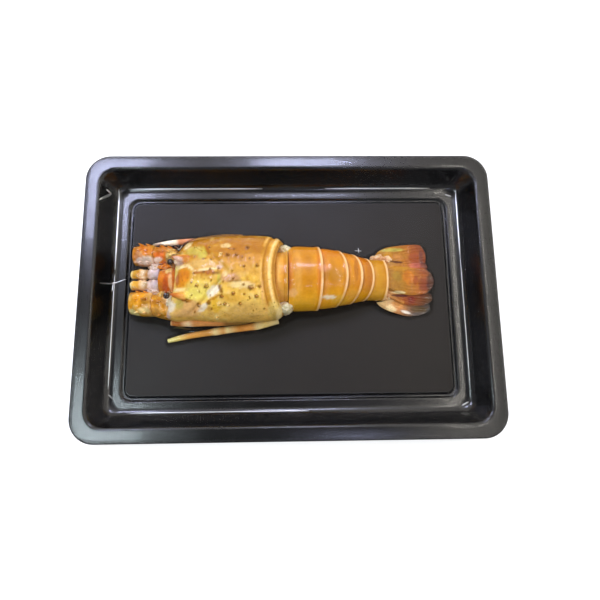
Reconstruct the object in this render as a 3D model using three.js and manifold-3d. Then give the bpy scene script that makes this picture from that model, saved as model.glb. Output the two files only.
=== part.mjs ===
// A cooked spiny lobster sealed in a black vacuum skin packaging tray, under clear skin film.
// Millimetres, +Z up. The origin is the middle of the tray's footprint, on the surface it stands on.
// +X runs along the tray from the lobster's head to its tail, and +Y points away from the viewer.
// "near" parts lie on the -Y side of the lobster and "far" parts on its +Y side.
import * as THREE from "three";
import { mergeVertices } from "three/addons/utils/BufferGeometryUtils.js";
import Module from "manifold-3d";

const { PI, abs, atan2, cos, hypot, max, min, sign, sin } = Math;
const { clamp, degToRad, lerp, smoothstep } = THREE.MathUtils;

// ---- Driving dimensions ----

const GAP = 0.3; // between pieces that touch

const TRAY = {
  length: 320,
  width: 221.5,
  sheet: 0.8, // thickness of the formed plastic
  flange: 11.1, // outer edge to the top of the wall
  depth: 19, // flange to floor
  draft: 8.3, // how far the wall leans in
  band: 9.5, // smooth floor between the wall and the groove
  grooveWidth: 4.2,
  grooveFlat: 1.4,
  grooveDepth: 1.8,
  lip: 1.8, // drop of the turned-down outer edge
  edgeRound: 1,
  topRound: 1.8,
  baseRound: 3,
};
const FLOOR = TRAY.grooveDepth + TRAY.sheet;
const FLANGE = FLOOR + TRAY.depth;
const WALL_BASE = TRAY.flange + TRAY.draft; // inset of the foot of the wall
const GROOVE_MIDDLE = WALL_BASE + TRAY.band + TRAY.grooveWidth / 2;
// The radius of the tray's plan corners, by how far in from the outer edge they are.
const CORNER_RADIUS = [
  [0, 19],
  [TRAY.flange, 13.5],
  [WALL_BASE, 9],
  [GROOVE_MIDDLE - TRAY.grooveWidth / 2, 8.5],
  [GROOVE_MIDDLE + TRAY.grooveWidth / 2, 5.5],
];

const BELLY = FLOOR + GAP; // what the lobster rests on
const AXIS_Y = 10; // the line that the lobster lies along
const HEAD_Y = 7; // the head is rolled a little towards the viewer
const TAIL_Y = 10.5; // the line of the abdomen

// Stations along the cephalothorax, each [x, value].
const CARAPACE = {
  front: -84,
  rear: -10.8,
  halfWidth: [[-84, 24.5], [-78, 29.4], [-66, 32.2], [-45, 33.4], [-28, 33.2], [-17, 31.6], [-10.8, 28]],
  top: [[-84, 35], [-78, 40], [-66, 44], [-45, 47], [-28, 46], [-17, 43.5], [-10.8, 41.5]],
  widest: 0.36, // height of the widest level, as a share of the whole height
  tuck: 0.72, // width of the underside, as a share of the whole width
  lobes: 6, // how much further back the rear edge runs on the flanks
  hollow: 13, // depth of the rear face's hollow, that the abdomen starts in
};
// The cervical groove crosses the back at x and sweeps forward to the flank, reach to either side.
const GROOVE = { x: -42, sweep: 21, reach: 22, depth: 2.2, halfWidth: 3.5 };
// The furrow in front of the raised rear rim.
const FURROW = { x: -18.4, depth: 1.6, halfWidth: 2.4 };
// Spines in rows across the back, spread to either side by an angle about the back's middle.
const SPINES = { from: -70, to: -24, rows: 8, perRow: 5, spread: 66, radius: 1.2, height: 1.9, seed: 7 };
const SPINE_ROOT = 1.2; // how deep a spine's root is sunk
const SPINE_SIDES = 5;
const HORN = { length: 12, rise: 7.5, radius: 4.2, spread: 13, x: -72, z: 38 };
const EYE = { x: -88.4, z: 35.6, radius: 2.7, spread: 12.6, stalk: 1.8 };
// The raised plate between the antenna bases.
const PLATE = { rear: -84.6, front: -99, y: 8.4, halfWidth: [11.6, 9.6], top: [33, 25] };

// The rear edge of each abdominal segment, from the joint with the carapace to the tail fan: x and z on
// the back, the edge's lean in degrees, and the half width there and at the front of the next segment.
const JOINTS = [
  { x: -9.8, z: 38.8, lean: 0, halfWidth: 20, next: 20.4 },
  { x: -1.2, z: 38.6, lean: 1, halfWidth: 21.4, next: 25.6 },
  { x: 24.8, z: 37, lean: 5.5, halfWidth: 24.6, next: 24.2 },
  { x: 43.6, z: 33.4, lean: 12, halfWidth: 21.9, next: 21.6 },
  { x: 55.2, z: 29.2, lean: 15, halfWidth: 19.4, next: 19 },
  { x: 64.6, z: 24.4, lean: 16, halfWidth: 16.8, next: 16.4 },
  { x: 76.6, z: 18.4, lean: 8, halfWidth: 16.2 },
];
// How the shell of a segment swells along it: tucked under the one before, stepped, and rimmed at the rear.
const SHELL = [[0, 0.93], [0.12, 0.94], [0.24, 0.985], [0.55, 0.995], [0.86, 1], [0.91, 1.025], [1, 1.025]];

// The tail fan: where it starts, its length, and each blade's thickness, the rounding of its end, how far its
// root is raised, and the height of its ribs.
const TAIL_FAN = { x: 77.6, length: 38, blade: 1.5, roundEnd: 2.4, rise: 2.6, rib: 0.35 };

// The film's grid is fine over the food, from x and y to x and y, and wide beside it.
const FILM = {
  thickness: 0.3,
  clearance: 0.7, // over the food
  trim: 0.8, // how far inside the tray's edge it ends
  foodX: [-127, 122],
  foodY: [-46, 58],
  cellX: 11.4,
  cellY: 8,
  wideCell: 30,
  pull: 1.8, // how far a point sinks below its neighbours before it is taut
  rounds: 300,
};

// ---- Colours ----

const COLOURS = {
  tray: [0x17181b, 0.25],
  film: [0xe8eef2, 0.05],
  carapace: [0xd9a04a, 0.35],
  abdomen: [0xd98a36, 0.3],
  fan: [0xb3743a, 0.4],
  joint: [0xd9c9a0, 0.5],
  limb: [0xd08a4a, 0.4],
  head: [0xcf7a3c, 0.45],
  eye: [0x2a1a10, 0.2],
};
const material = ([color, roughness], extra = {}) =>
  new THREE.MeshStandardMaterial({ color, roughness, metalness: 0, ...extra });

// ---- Tools ----

const wasm = await Module();
wasm.setup();
const root = new THREE.Group();

/** The value at x of straight stretches through [x, value] stations, level beyond the first and last. */
function along(stations, x) {
  const next = stations.findIndex(([at]) => at >= x);
  if (next <= 0) return stations.at(next)[1];
  const [[x0, v0], [x1, v1]] = stations.slice(next - 1, next + 1);
  return lerp(v0, v1, (x - x0) / (x1 - x0));
}

/** A repeatable random number source, from 0 to 1. */
function seeded(seed) {
  let state = seed;
  return () => {
    state = (state * 16807) % 2147483647;
    return state / 2147483647;
  };
}

const SAME_POINT = 1e-3; // points closer than this are one

/** Moves each vertex of a closed shape to move(vertex, index), merges what meets, and turns it outwards. */
function reshaped(geometry, move) {
  geometry.deleteAttribute("normal");
  geometry.deleteAttribute("uv");
  const position = geometry.attributes.position;
  const vertex = new THREE.Vector3();
  for (let i = 0; i < position.count; i++) {
    const moved = move(vertex.fromBufferAttribute(position, i), i);
    position.setXYZ(i, moved.x, moved.y, moved.z);
  }
  const closed = mergeVertices(geometry, SAME_POINT);
  if (volumeOf(closed) < 0) closed.index.array.reverse();
  return closed;
}

/** The volume inside a closed shape, negative where its faces point inwards. */
function volumeOf(geometry) {
  const { index } = geometry;
  const { position } = geometry.attributes;
  const corners = [0, 1, 2].map(() => new THREE.Vector3());
  let volume = 0;
  for (let i = 0; i < index.count; i += 3) {
    corners.forEach((corner, k) => corner.fromBufferAttribute(position, index.getX(i + k)));
    volume += corners[0].dot(corners[1].clone().cross(corners[2])) / 6;
  }
  return volume;
}

/** A closed skin round a line: skin(v, angle) gives its points and core(v) its middle, v from 0 to 1. */
function tube(skin, core, sides, rings) {
  return reshaped(new THREE.CylinderGeometry(1, 1, 1, sides, rings), (p) => {
    const v = p.y + 0.5;
    return hypot(p.x, p.z) < 0.5 ? core(v) : skin(v, atan2(p.x, p.z));
  });
}

function solid(geometry) {
  const mesh = new wasm.Mesh({
    numProp: 3,
    vertProperties: geometry.attributes.position.array,
    triVerts: new Uint32Array(geometry.index.array),
  });
  return new wasm.Manifold(mesh);
}

function geometryOf(manifold) {
  const mesh = manifold.getMesh();
  return new THREE.BufferGeometry()
    .setAttribute("position", new THREE.BufferAttribute(mesh.vertProperties, 3))
    .setIndex(new THREE.BufferAttribute(mesh.triVerts, 1));
}

/** One solid joined from a main shape and what stands on it. */
const joined = (base, extras) => geometryOf(extras.reduce((sum, g) => sum.add(solid(g)), solid(base)));

/** Adds a named piece to the model. */
function add(name, geometry, colour, extra) {
  const mesh = new THREE.Mesh(geometry, material(colour, extra));
  mesh.name = name;
  root.add(mesh);
  return mesh;
}

/** A spine on the skin at a point, leaning along a unit vector, with its root sunk in. */
function spine(at, lean, height, radius) {
  const length = height + SPINE_ROOT;
  const turn = new THREE.Quaternion().setFromUnitVectors(new THREE.Vector3(0, 1, 0), lean);
  const middle = at.clone().addScaledVector(lean, length / 2 - SPINE_ROOT);
  const cone = new THREE.ConeGeometry(radius, length, SPINE_SIDES);
  return reshaped(cone, (p) => p.applyQuaternion(turn).add(middle));
}

// How an arched section departs from an ellipse, as powers: below 1 is fuller.
const ARCH = { flank: 0.9, back: 0.92, belly: 0.6, tuck: 1.5 };

/** A point of an arched section: a round back, with its flanks tucked in under the widest level. */
function arch({ halfWidth, top, bottom, widest, tuck }, angle) {
  const [s, c] = [sin(angle), cos(angle)];
  const middle = lerp(bottom, top, widest);
  const narrowing = c < 0 ? lerp(1, tuck, abs(c) ** ARCH.tuck) : 1;
  const height = c > 0 ? (top - middle) * c ** ARCH.back : (bottom - middle) * abs(c) ** ARCH.belly;
  return { y: halfWidth * narrowing * sign(s) * abs(s) ** ARCH.flank, z: middle + height };
}

// ---- Tray ----

const CORNER_STEPS = 6; // facets in each rounded corner
const BEND_STEPS = 3; // facets in the bends at the foot and the top of the wall

/** A corner of the section eased by a curve between its two sides. */
function eased(before, corner, after, radius, steps) {
  const start = corner.clone().lerp(before, radius / corner.distanceTo(before));
  const end = corner.clone().lerp(after, radius / corner.distanceTo(after));
  return new THREE.QuadraticBezierCurve(start, corner, end).getPoints(steps);
}

/** The tray's upper skin from the middle out, as (inset from the outer edge, height). */
function traySection() {
  const at = (inset, z) => new THREE.Vector2(inset, z);
  const { grooveWidth, grooveFlat, grooveDepth, flange, lip } = TRAY;
  const bandEdge = at(GROOVE_MIDDLE - grooveWidth / 2, FLOOR);
  const [base, top] = [at(WALL_BASE, FLOOR), at(flange, FLANGE)];
  const [edge, lipFoot] = [at(0, FLANGE), at(0, FLANGE - lip)];
  return [
    at(GROOVE_MIDDLE + grooveWidth / 2, FLOOR),
    at(GROOVE_MIDDLE + grooveFlat / 2, FLOOR - grooveDepth),
    at(GROOVE_MIDDLE - grooveFlat / 2, FLOOR - grooveDepth),
    bandEdge,
    ...eased(bandEdge, base, top, TRAY.baseRound, BEND_STEPS),
    ...eased(base, top, edge, TRAY.topRound, BEND_STEPS),
    ...eased(top, edge, lipFoot, TRAY.edgeRound, 2),
    lipFoot,
  ];
}

/** The section moved towards its underside by the sheet's thickness, each corner mitred. */
function underside(section) {
  const normals = section.slice(1).map((p, i) => {
    const d = p.clone().sub(section[i]).normalize();
    return new THREE.Vector2(-d.y, d.x);
  });
  return section.map((p, i) => {
    const a = normals[max(i - 1, 0)];
    const b = normals[min(i, normals.length - 1)];
    return p.clone().addScaledVector(a.clone().add(b), TRAY.sheet / (1 + a.dot(b)));
  });
}

/** The point of the ring at this inset that stands at the given step round the tray. */
function onRing(inset, cornerRadius, step) {
  const corner = Math.floor(step / (CORNER_STEPS + 1)) % 4;
  const angle = ((corner + (step % (CORNER_STEPS + 1)) / CORNER_STEPS) * PI) / 2;
  const [sideX, sideY] = [corner % 3 === 0 ? 1 : -1, corner < 2 ? 1 : -1];
  return {
    x: sideX * (TRAY.length / 2 - inset - cornerRadius) + cornerRadius * cos(angle),
    y: sideY * (TRAY.width / 2 - inset - cornerRadius) + cornerRadius * sin(angle),
  };
}

/** The formed sheet: one section carried round the rounded rectangle, from the panel out and back. */
function tray() {
  const upper = traySection();
  const lower = underside(upper);
  const sheetRadius = (i) => along(CORNER_RADIUS, upper[i].x);
  const rings = [
    ...upper.map((p, i) => ({ p, radius: sheetRadius(i) })),
    ...lower.map((p, i) => ({ p, radius: sheetRadius(i) + upper[i].x - p.x })).reverse(),
  ];
  const outline = [
    new THREE.Vector2(0, FLOOR),
    ...rings.map(({ p }) => new THREE.Vector2(TRAY.length - p.x, p.y)),
    new THREE.Vector2(0, FLOOR - TRAY.sheet),
  ];
  const steps = 4 * (CORNER_STEPS + 1);
  return reshaped(new THREE.LatheGeometry(outline, steps), (_, i) => {
    const level = i % outline.length;
    const ring = rings[level - 1];
    if (!ring) return { x: 0, y: 0, z: outline[level].y };
    return { ...onRing(ring.p.x, ring.radius, Math.floor(i / outline.length)), z: ring.p.y };
  });
}

// ---- Cephalothorax ----

/** How far the carapace's skin is drawn in by its groove and its furrow. */
function carapaceRelief(x, y) {
  const cut = (at, { depth, halfWidth }) => depth * max(0, 1 - abs(x - at) / halfWidth);
  const across = abs(y) / GROOVE.reach;
  const grooveAt = GROOVE.x - GROOVE.sweep * across ** 1.3;
  return cut(grooveAt, GROOVE) * (1 - smoothstep(across, 1, 1.3)) + cut(FURROW.x, FURROW);
}

/** A point of the carapace's skin, at an angle about its middle that is 0 on the back. */
function carapacePoint(x, angle) {
  const section = {
    halfWidth: along(CARAPACE.halfWidth, x),
    top: along(CARAPACE.top, x),
    bottom: BELLY,
    widest: CARAPACE.widest,
    tuck: CARAPACE.tuck,
  };
  const { y, z } = arch(section, angle);
  const drawnIn = cos(angle) > 0 ? carapaceRelief(x, y) : 0;
  const roll = (AXIS_Y - HEAD_Y) * smoothstep(-x, -FURROW.x, -CARAPACE.front) * max(0, cos(angle));
  const lobe = CARAPACE.lobes * smoothstep(x, GROOVE.x, CARAPACE.rear) * (y / 28) ** 2;
  return new THREE.Vector3(
    x + lobe,
    AXIS_Y + y - roll - drawnIn * sin(angle),
    z - drawnIn * max(0, cos(angle)),
  );
}

/** Forward-leaning spines in rows across the back, clear of the grooves. */
function carapaceSpines() {
  const random = seeded(SPINES.seed);
  const spines = [];
  for (let row = 0; row < SPINES.rows; row++) {
    for (let k = 0; k < SPINES.perRow; k++) {
      const x = lerp(SPINES.from, SPINES.to, (row + random() * 0.7) / (SPINES.rows - 0.5));
      const share = (k + 0.2 + random() * 0.6) / SPINES.perRow;
      const angle = degToRad(lerp(-SPINES.spread, SPINES.spread, share));
      const base = carapacePoint(x, angle);
      if (carapaceRelief(x, base.y - AXIS_Y) > 0.2) continue;
      const size = 0.75 + random() * 0.5;
      const lean = new THREE.Vector3(-0.75, 0.8 * sin(angle), cos(angle)).normalize();
      spines.push(spine(base, lean, SPINES.height * size, SPINES.radius * size));
    }
  }
  return spines;
}

/** A stout horn over an eye, curving forwards and up. */
function horn(side) {
  const y = HEAD_Y + side * HORN.spread;
  const curve = new THREE.QuadraticBezierCurve3(
    new THREE.Vector3(HORN.x + 3, y, HORN.z - 3),
    new THREE.Vector3(HORN.x - HORN.length * 0.6, y + side, HORN.z + 1),
    new THREE.Vector3(HORN.x - HORN.length, y + side * 0.5, HORN.z + HORN.rise),
  );
  return limb(curve, [[0, HORN.radius], [0.5, HORN.radius * 0.72], [1, 0.5]], 8, 5);
}

/** The shell of head and thorax, with its horns and spines. */
function carapace() {
  const skin = (v, angle) => carapacePoint(lerp(CARAPACE.front, CARAPACE.rear, v), angle);
  const core = (v) => {
    const x = lerp(CARAPACE.front, CARAPACE.rear, v);
    return new THREE.Vector3(x - CARAPACE.hollow * v, AXIS_Y, along(CARAPACE.top, x) / 2);
  };
  return joined(tube(skin, core, 24, 22), [horn(1), horn(-1), ...carapaceSpines()]);
}

// ---- Limbs ----

/** A round limb along a curve, with its radius by [share of the length, radius] stations. */
function limb(curve, radii, sides, rings) {
  const up = new THREE.Vector3(0, 0, 1);
  const skin = (v, angle) => {
    const ahead = curve.getTangentAt(v);
    const side = new THREE.Vector3().crossVectors(ahead, up).normalize();
    const over = new THREE.Vector3().crossVectors(side, ahead);
    const radius = along(radii, v);
    return curve
      .getPointAt(v)
      .addScaledVector(side, radius * sin(angle))
      .addScaledVector(over, radius * cos(angle));
  };
  return tube(skin, (v) => curve.getPointAt(v), sides, rings);
}

/** A smooth curve through [x, y, z] points. */
const route = (...points) => new THREE.CatmullRomCurve3(points.map((p) => new THREE.Vector3(...p)));

// Walking legs, each from where it leaves the body to its tip. The knots are its joints.
const LEGS = {
  near_long: {
    path: [
      [-9, -21, 7.2],
      [-26, -24.8, 6.6],
      [-47.4, -27.4, 6],
      [-61, -29.2, 5.6],
      [-80, -32.2, 5.2],
      [-95, -35.6, 4.2],
    ],
    radii: [[0, 2.3], [0.2, 2.6], [0.4, 2.3], [0.55, 2.6], [0.62, 2.2], [0.9, 1.7], [1, 0.7]],
  },
  near_short: {
    path: [[-37, -25.4, 12], [-55, -26.4, 11.4], [-74, -25.6, 10.6], [-80, -25.2, 10.6], [-86, -24.4, 10.2]],
    radii: [[0, 1], [0.15, 2], [0.6, 2.2], [0.72, 2.6], [1, 1.6]],
  },
  far_long: {
    path: [[-38, 44.6, 6.2], [-58, 45.2, 6.2], [-76, 44.2, 7.4], [-92, 42.6, 8.6], [-109, 41.4, 7]],
    radii: [[0, 2.2], [0.3, 2.5], [0.55, 2.2], [0.7, 2.3], [1, 0.9]],
  },
};

// ---- Head ----

// The cut-off antenna bases, each a fat joint between two x planes: middle y, half width and top.
const ANTENNA_BASES = {
  near_inner: { x: [-87.5, -104], y: [-12.6, -9], halfWidth: [8.8, 9.2], top: [27, 25] },
  near_outer: { x: [-104.6, -122.6], y: [-8.4, -6.6], halfWidth: [9.4, 9.4], top: [25, 20] },
  far_inner: { x: [-87.5, -104], y: [28, 30], halfWidth: [7, 7.8], top: [27, 25] },
  far_outer: { x: [-104.6, -121], y: [30.4, 30.8], halfWidth: [8.4, 8], top: [25, 21] },
};

/** One joint of an antenna's base: swollen between its two ends, with spines in two rows. */
function antennaBase({ x, y, halfWidth, top }) {
  const swell = (v) => lerp(0.86, 1, sin(PI * clamp(v * 1.1, 0, 1)) ** 0.6);
  const middle = (v) => lerp(...y, v);
  const skin = (v, angle) => {
    const size = swell(v);
    const section = {
      halfWidth: lerp(...halfWidth, v) * size,
      top: BELLY + (lerp(...top, v) - BELLY) * size,
      bottom: BELLY,
      widest: 0.45,
      tuck: 0.7,
    };
    const at = arch(section, angle);
    return new THREE.Vector3(lerp(...x, v), middle(v) + at.y, at.z);
  };
  const core = (v) => new THREE.Vector3(lerp(...x, v), middle(v), lerp(...top, v) / 2);
  const spines = [0.25, 0.6].flatMap((v) =>
    [-50, 10, 55].map((degrees) => {
      const lean = new THREE.Vector3(-0.8, 0.5 * sin(degToRad(degrees)), 0.6).normalize();
      return spine(skin(v, degToRad(degrees)), lean, 3.2, 1.4);
    }),
  );
  return joined(tube(skin, core, 12, 5), spines);
}

/** The plate slopes down to the front. */
function antennularPlate() {
  const point = (v, y, z) => new THREE.Vector3(lerp(PLATE.rear, PLATE.front, v), PLATE.y + y, z);
  const skin = (v, angle) => {
    const [halfWidth, top] = [lerp(...PLATE.halfWidth, v), lerp(...PLATE.top, v)];
    const { y, z } = arch({ halfWidth, top, bottom: BELLY, widest: 0.5, tuck: 0.6 }, angle);
    return point(v, y, z);
  };
  return tube(skin, (v) => point(v, 0, PLATE.top[0] / 2), 12, 4);
}

// The antennules' places across the tray, and the radius of their joints.
const ANTENNULES = { near: 6, far: 14.6 };
const ANTENNULE_RADII = [[0, 3.9], [0.35, 4], [0.42, 3.4], [0.75, 3.6], [1, 2.9]];

function antennule(y) {
  const line = route([-99.6, y, 17], [-110, y + 0.4, 15.5], [-122, y + 0.8, 13]);
  return limb(line, ANTENNULE_RADII, 10, 8);
}

/** An eye on its short stalk, in front of its horn. */
function eye(side) {
  const middle = new THREE.Vector3(EYE.x + side, HEAD_Y + side * EYE.spread, EYE.z);
  const root = middle.clone().add(new THREE.Vector3(1.6, -side * 3, -3.4));
  const stalk = limb(new THREE.LineCurve3(middle, root), [[0, EYE.stalk], [1, 1.5]], 8, 2);
  const ball = reshaped(new THREE.SphereGeometry(EYE.radius, 10, 8), (p) => p.add(middle));
  return joined(ball, [stalk]);
}

// ---- Abdomen ----

/** A point of the abdomen between two joints, on a section that is square to the back there. */
function abdomenPoint(front, rear, v, angle) {
  const swell = along(SHELL, v);
  const lean = degToRad(lerp(front.lean, rear.lean, v));
  const [x, top] = [lerp(front.x, rear.x, v), lerp(front.z, rear.z, v)];
  const height = (top - BELLY) / cos(lean);
  const section = {
    halfWidth: lerp(front.next, rear.halfWidth, v) * lerp(1, swell, 0.5),
    top: height * swell,
    bottom: 0,
    widest: 0.34,
    tuck: 0.74,
  };
  const { y, z } = arch(section, angle);
  // The belly stays level, and the section leans back by turning about its foot.
  const down = height - z;
  return new THREE.Vector3(x - down * sin(lean), TAIL_Y + y, max(BELLY, top - down * cos(lean)));
}

/** The ring of shell and meat between one joint and the next. */
function segment(index) {
  const [front, rear] = [JOINTS[index - 1], JOINTS[index]];
  const start = (GAP + 0.2) / (rear.x - front.x);
  const skin = (v, angle) => abdomenPoint(front, rear, lerp(start, 1, v), angle);
  const core = (v) => skin(v, 0).lerp(skin(v, PI), 0.5);
  const rings = index === 1 ? 4 : 8; // little of the first one shows
  return tube(skin, core, 18, rings);
}

/** The pale soft skin that shows in the notch between the carapace and the second segment. */
function jointSkin(side) {
  const middle = new THREE.Vector3(-3.8, TAIL_Y + side * 24.4, 18);
  const halfSizes = new THREE.Vector3(2.2, 2.5, 10);
  return reshaped(new THREE.SphereGeometry(1, 10, 8), (p) => p.multiply(halfSizes).add(middle));
}

// ---- Tail fan ----

// Each blade: its level in the stack, how far its outer edge reaches forward beside the last segment (on
// the near side where negative), how many degrees it is turned from the lobster's line, its length, where
// its root stands beside the line, and its half width by [share of the length, half width] stations.
const INNER_BLADE = [[0, 5], [0.5, 8], [0.85, 7], [1, 4]];
const BLADES = {
  telson: {
    level: 2,
    turn: -1,
    length: 37.4,
    offset: 0,
    outline: [[0, 8], [0.5, 11.5], [0.85, 10.5], [1, 7]],
  },
  uropod_near_inner: { level: 1, turn: -9, length: 36.5, offset: -9, outline: INNER_BLADE },
  uropod_far_inner: { level: 1, turn: 4, length: 33.6, offset: 9, outline: INNER_BLADE },
  uropod_near_outer: {
    level: 0,
    flare: -8,
    turn: -12,
    length: 35,
    offset: -14.6,
    outline: [[0, 4.6], [0.08, 7], [0.3, 9.5], [0.6, 10.2], [0.9, 7], [1, 4.5]],
  },
  uropod_far_outer: {
    level: 0,
    flare: 8,
    turn: 10,
    length: 30.5,
    offset: 16.6,
    outline: [[0, 5.6], [0.1, 8.6], [0.3, 10.6], [0.6, 10.2], [0.9, 7.4], [1, 5]],
  },
};

/** A thin cupped blade of the tail fan, with raised ribs. */
function blade({ level, flare = 0, turn, length, offset, outline }) {
  const direction = new THREE.Vector3(cos(degToRad(turn)), sin(degToRad(turn)), 0);
  const across = new THREE.Vector3(-direction.y, direction.x, 0);
  const start = new THREE.Vector3(TAIL_FAN.x, TAIL_Y + offset, 0);
  const { roundEnd, rise, rib } = TAIL_FAN;
  return reshaped(new THREE.BoxGeometry(1, 1, 1, 8, 6, 1), (p) => {
    const [u, w] = [p.x + 0.5, p.y * 2];
    const forward = (1 - u) * max(0, w * sign(flare)) ** 2 * abs(flare);
    const plan = start
      .clone()
      .addScaledVector(direction, u * length - roundEnd * u * w * w - forward)
      .addScaledVector(across, w * along(outline, u));
    // The blades lie one over another, so what lifts them goes by x alone.
    const rootward = 1 - smoothstep(plan.x, TAIL_FAN.x, TAIL_FAN.x + TAIL_FAN.length / 2);
    const thickness = TAIL_FAN.blade + rootward;
    const lift = level * (thickness + GAP) + rise * rootward;
    return plan.setZ(BELLY + lift + (p.z + 0.5) * (thickness - rib * cos(w * PI * 1.5) ** 2));
  });
}

// ---- Skin film ----

/** Lines of the film's grid between the foot of one wall and the other, with more where the food is. */
function gridLines(half, [foodFrom, foodTo], cell) {
  const wall = [
    FILM.trim - 0.2,
    TRAY.flange - 1.4,
    TRAY.flange + 0.6,
    lerp(TRAY.flange, WALL_BASE, 0.5),
    WALL_BASE - 0.8,
    WALL_BASE + TRAY.baseRound,
  ];
  const low = wall.map((inset) => inset - half);
  const high = wall.map((inset) => half - inset).reverse();
  const fill = (from, to, size) => {
    const count = max(1, Math.round((to - from) / size));
    return Array.from({ length: count }, (_, i) => lerp(from, to, i / count));
  };
  const [start, end] = [low.at(-1), high[0]];
  return [
    ...low.slice(0, -1),
    ...fill(start, foodFrom, FILM.wideCell),
    ...fill(foodFrom, foodTo, cell),
    ...fill(foodTo, end, FILM.wideCell),
    ...high,
  ];
}

/** The shares of a triangle's corners where the film is tried: every quarter of each side, and the middle. */
const SAMPLES = [0, 1, 2].flatMap((corner) =>
  [1, 0.75, 0.5, 0.25].map((share) => {
    const shares = new THREE.Vector3();
    return shares.setComponent(corner, share).setComponent((corner + 1) % 3, 1 - share);
  }),
);
SAMPLES.push(new THREE.Vector3(1, 1, 1).divideScalar(3));
const LEAST_SHARE = 1e-6; // a smaller one is nothing

const FAR_ABOVE = 120; // higher than anything in the tray

/** The film's grid, split into the same triangles as the faces of a box. */
class FilmGrid {
  constructor(xs, ys) {
    Object.assign(this, { xs, ys, wide: xs.length, deep: ys.length });
    this.heights = new Float64Array(this.wide * this.deep);
  }

  /** The two triangles of a cell, as grid points. */
  triangles(i, j) {
    const [low, high] = [i + j * this.wide, i + (j + 1) * this.wide];
    return [
      [high, low, high + 1],
      [low, low + 1, high + 1],
    ];
  }

  /** A unit box with the grid's cells, and the same split of each cell above and below. */
  slab() {
    const { wide, deep } = this;
    const box = new THREE.BoxGeometry(1, 1, 1, wide - 1, deep - 1, 1);
    const [above, below] = box.groups.slice(4);
    const first = box.attributes.position.count - 2 * wide * deep;
    for (let n = 0; n < above.count; n++) {
      const vertex = box.index.getX(above.start + n) - first;
      const mirrored = vertex - 2 * (vertex % wide) + wide - 1;
      box.index.setX(below.start + below.count - 1 - n, first + wide * deep + mirrored);
    }
    return box;
  }

  /** The place of a grid point in the plan. */
  place(k) {
    return new THREE.Vector3(this.xs[k % this.wide], this.ys[Math.floor(k / this.wide)], 0);
  }

  /** The shares of a grid triangle's corners at a point, or null where the point is outside. */
  shares(corners, point) {
    const places = corners.map((k) => this.place(k));
    const shares = THREE.Triangle.getBarycoord(point, ...places, new THREE.Vector3());
    return shares && min(...shares) > -LEAST_SHARE ? shares : null;
  }

  /** Every height that the film has to reach, over its own points and over the corners of what it covers. */
  demands(heightAt, covered) {
    const demands = [];
    const measured = new Map();
    const measure = (x, y) => {
      const key = `${x.toFixed(4)} ${y.toFixed(4)}`;
      if (!measured.has(key)) measured.set(key, heightAt(x, y));
      return measured.get(key);
    };
    for (let j = 0; j + 1 < this.deep; j++) {
      for (let i = 0; i + 1 < this.wide; i++) {
        for (const corners of this.triangles(i, j)) {
          const [a, b, c] = corners.map((k) => this.place(k));
          for (const shares of SAMPLES) {
            const x = a.x * shares.x + b.x * shares.y + c.x * shares.z;
            const y = a.y * shares.x + b.y * shares.y + c.y * shares.z;
            demands.push({ corners, shares: shares.toArray(), height: measure(x, y) });
          }
        }
      }
    }
    for (const { geometry } of covered) {
      const { position } = geometry.attributes;
      for (let k = 0; k < position.count; k++) {
        const i = this.xs.findIndex((x) => x > position.getX(k)) - 1;
        const j = this.ys.findIndex((y) => y > position.getY(k)) - 1;
        const point = new THREE.Vector3(position.getX(k), position.getY(k), 0);
        const corners = this.triangles(i, j).find((triangle) => this.shares(triangle, point));
        const shares = this.shares(corners, point).toArray();
        demands.push({ corners, shares, height: position.getZ(k) + FILM.clearance });
      }
    }
    return demands;
  }

  /** Settles the film from far above, as low as the demands and its tautness let each point go. */
  settle(demands, rounds, pull) {
    const { heights, wide, deep } = this;
    const over = Array.from(heights, () => []);
    for (const demand of demands) {
      demand.corners.forEach((k, n) => {
        if (demand.shares[n] > LEAST_SHARE) over[k].push({ ...demand, own: n });
      });
    }
    heights.fill(FAR_ABOVE);
    for (let round = 0; round < rounds; round++) {
      for (let k = 0; k < heights.length; k++) {
        const [i, j] = [k % wide, Math.floor(k / wide)];
        const edge = i === 0 || j === 0 || i === wide - 1 || j === deep - 1;
        const neighbours = heights[k - 1] + heights[k + 1] + heights[k - wide] + heights[k + wide];
        const taut = edge ? 0 : neighbours / 4 - pull;
        heights[k] = over[k].reduce((least, { corners, shares, height, own }) => {
          const others = corners.reduce((sum, m, n) => (n === own ? sum : sum + shares[n] * heights[m]), 0);
          return max(least, (height - others) / shares[own]);
        }, taut);
      }
    }
  }
}

/** A sheet that lies on the tray and the food: lifted wherever it would cut them, and drawn taut between. */
function skinFilm(trayMesh, food) {
  const grid = new FilmGrid(
    gridLines(TRAY.length / 2, FILM.foodX, FILM.cellX),
    gridLines(TRAY.width / 2, FILM.foodY, FILM.cellY),
  );
  const caster = new THREE.Raycaster();
  const down = new THREE.Vector3(0, 0, -1);
  const heightAt = (x, y) => {
    caster.set(new THREE.Vector3(x, y, FAR_ABOVE), down);
    const [hit] = caster.intersectObjects([trayMesh, ...food], false);
    if (!hit) return FLANGE + GAP;
    return hit.object === trayMesh ? max(FLOOR, hit.point.z) + GAP : hit.point.z + FILM.clearance;
  };
  const demands = grid.demands(heightAt, food);
  grid.settle(demands, FILM.rounds, FILM.pull);
  const sheet = reshaped(grid.slab(), (p) => {
    const [i, j] = [Math.round((p.x + 0.5) * (grid.wide - 1)), Math.round((p.y + 0.5) * (grid.deep - 1))];
    const k = i + j * grid.wide;
    return grid.place(k).setZ(grid.heights[k] + (p.z > 0 ? FILM.thickness : 0));
  });
  return geometryOf(solid(sheet).intersect(solid(trimBlock())));
}

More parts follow.
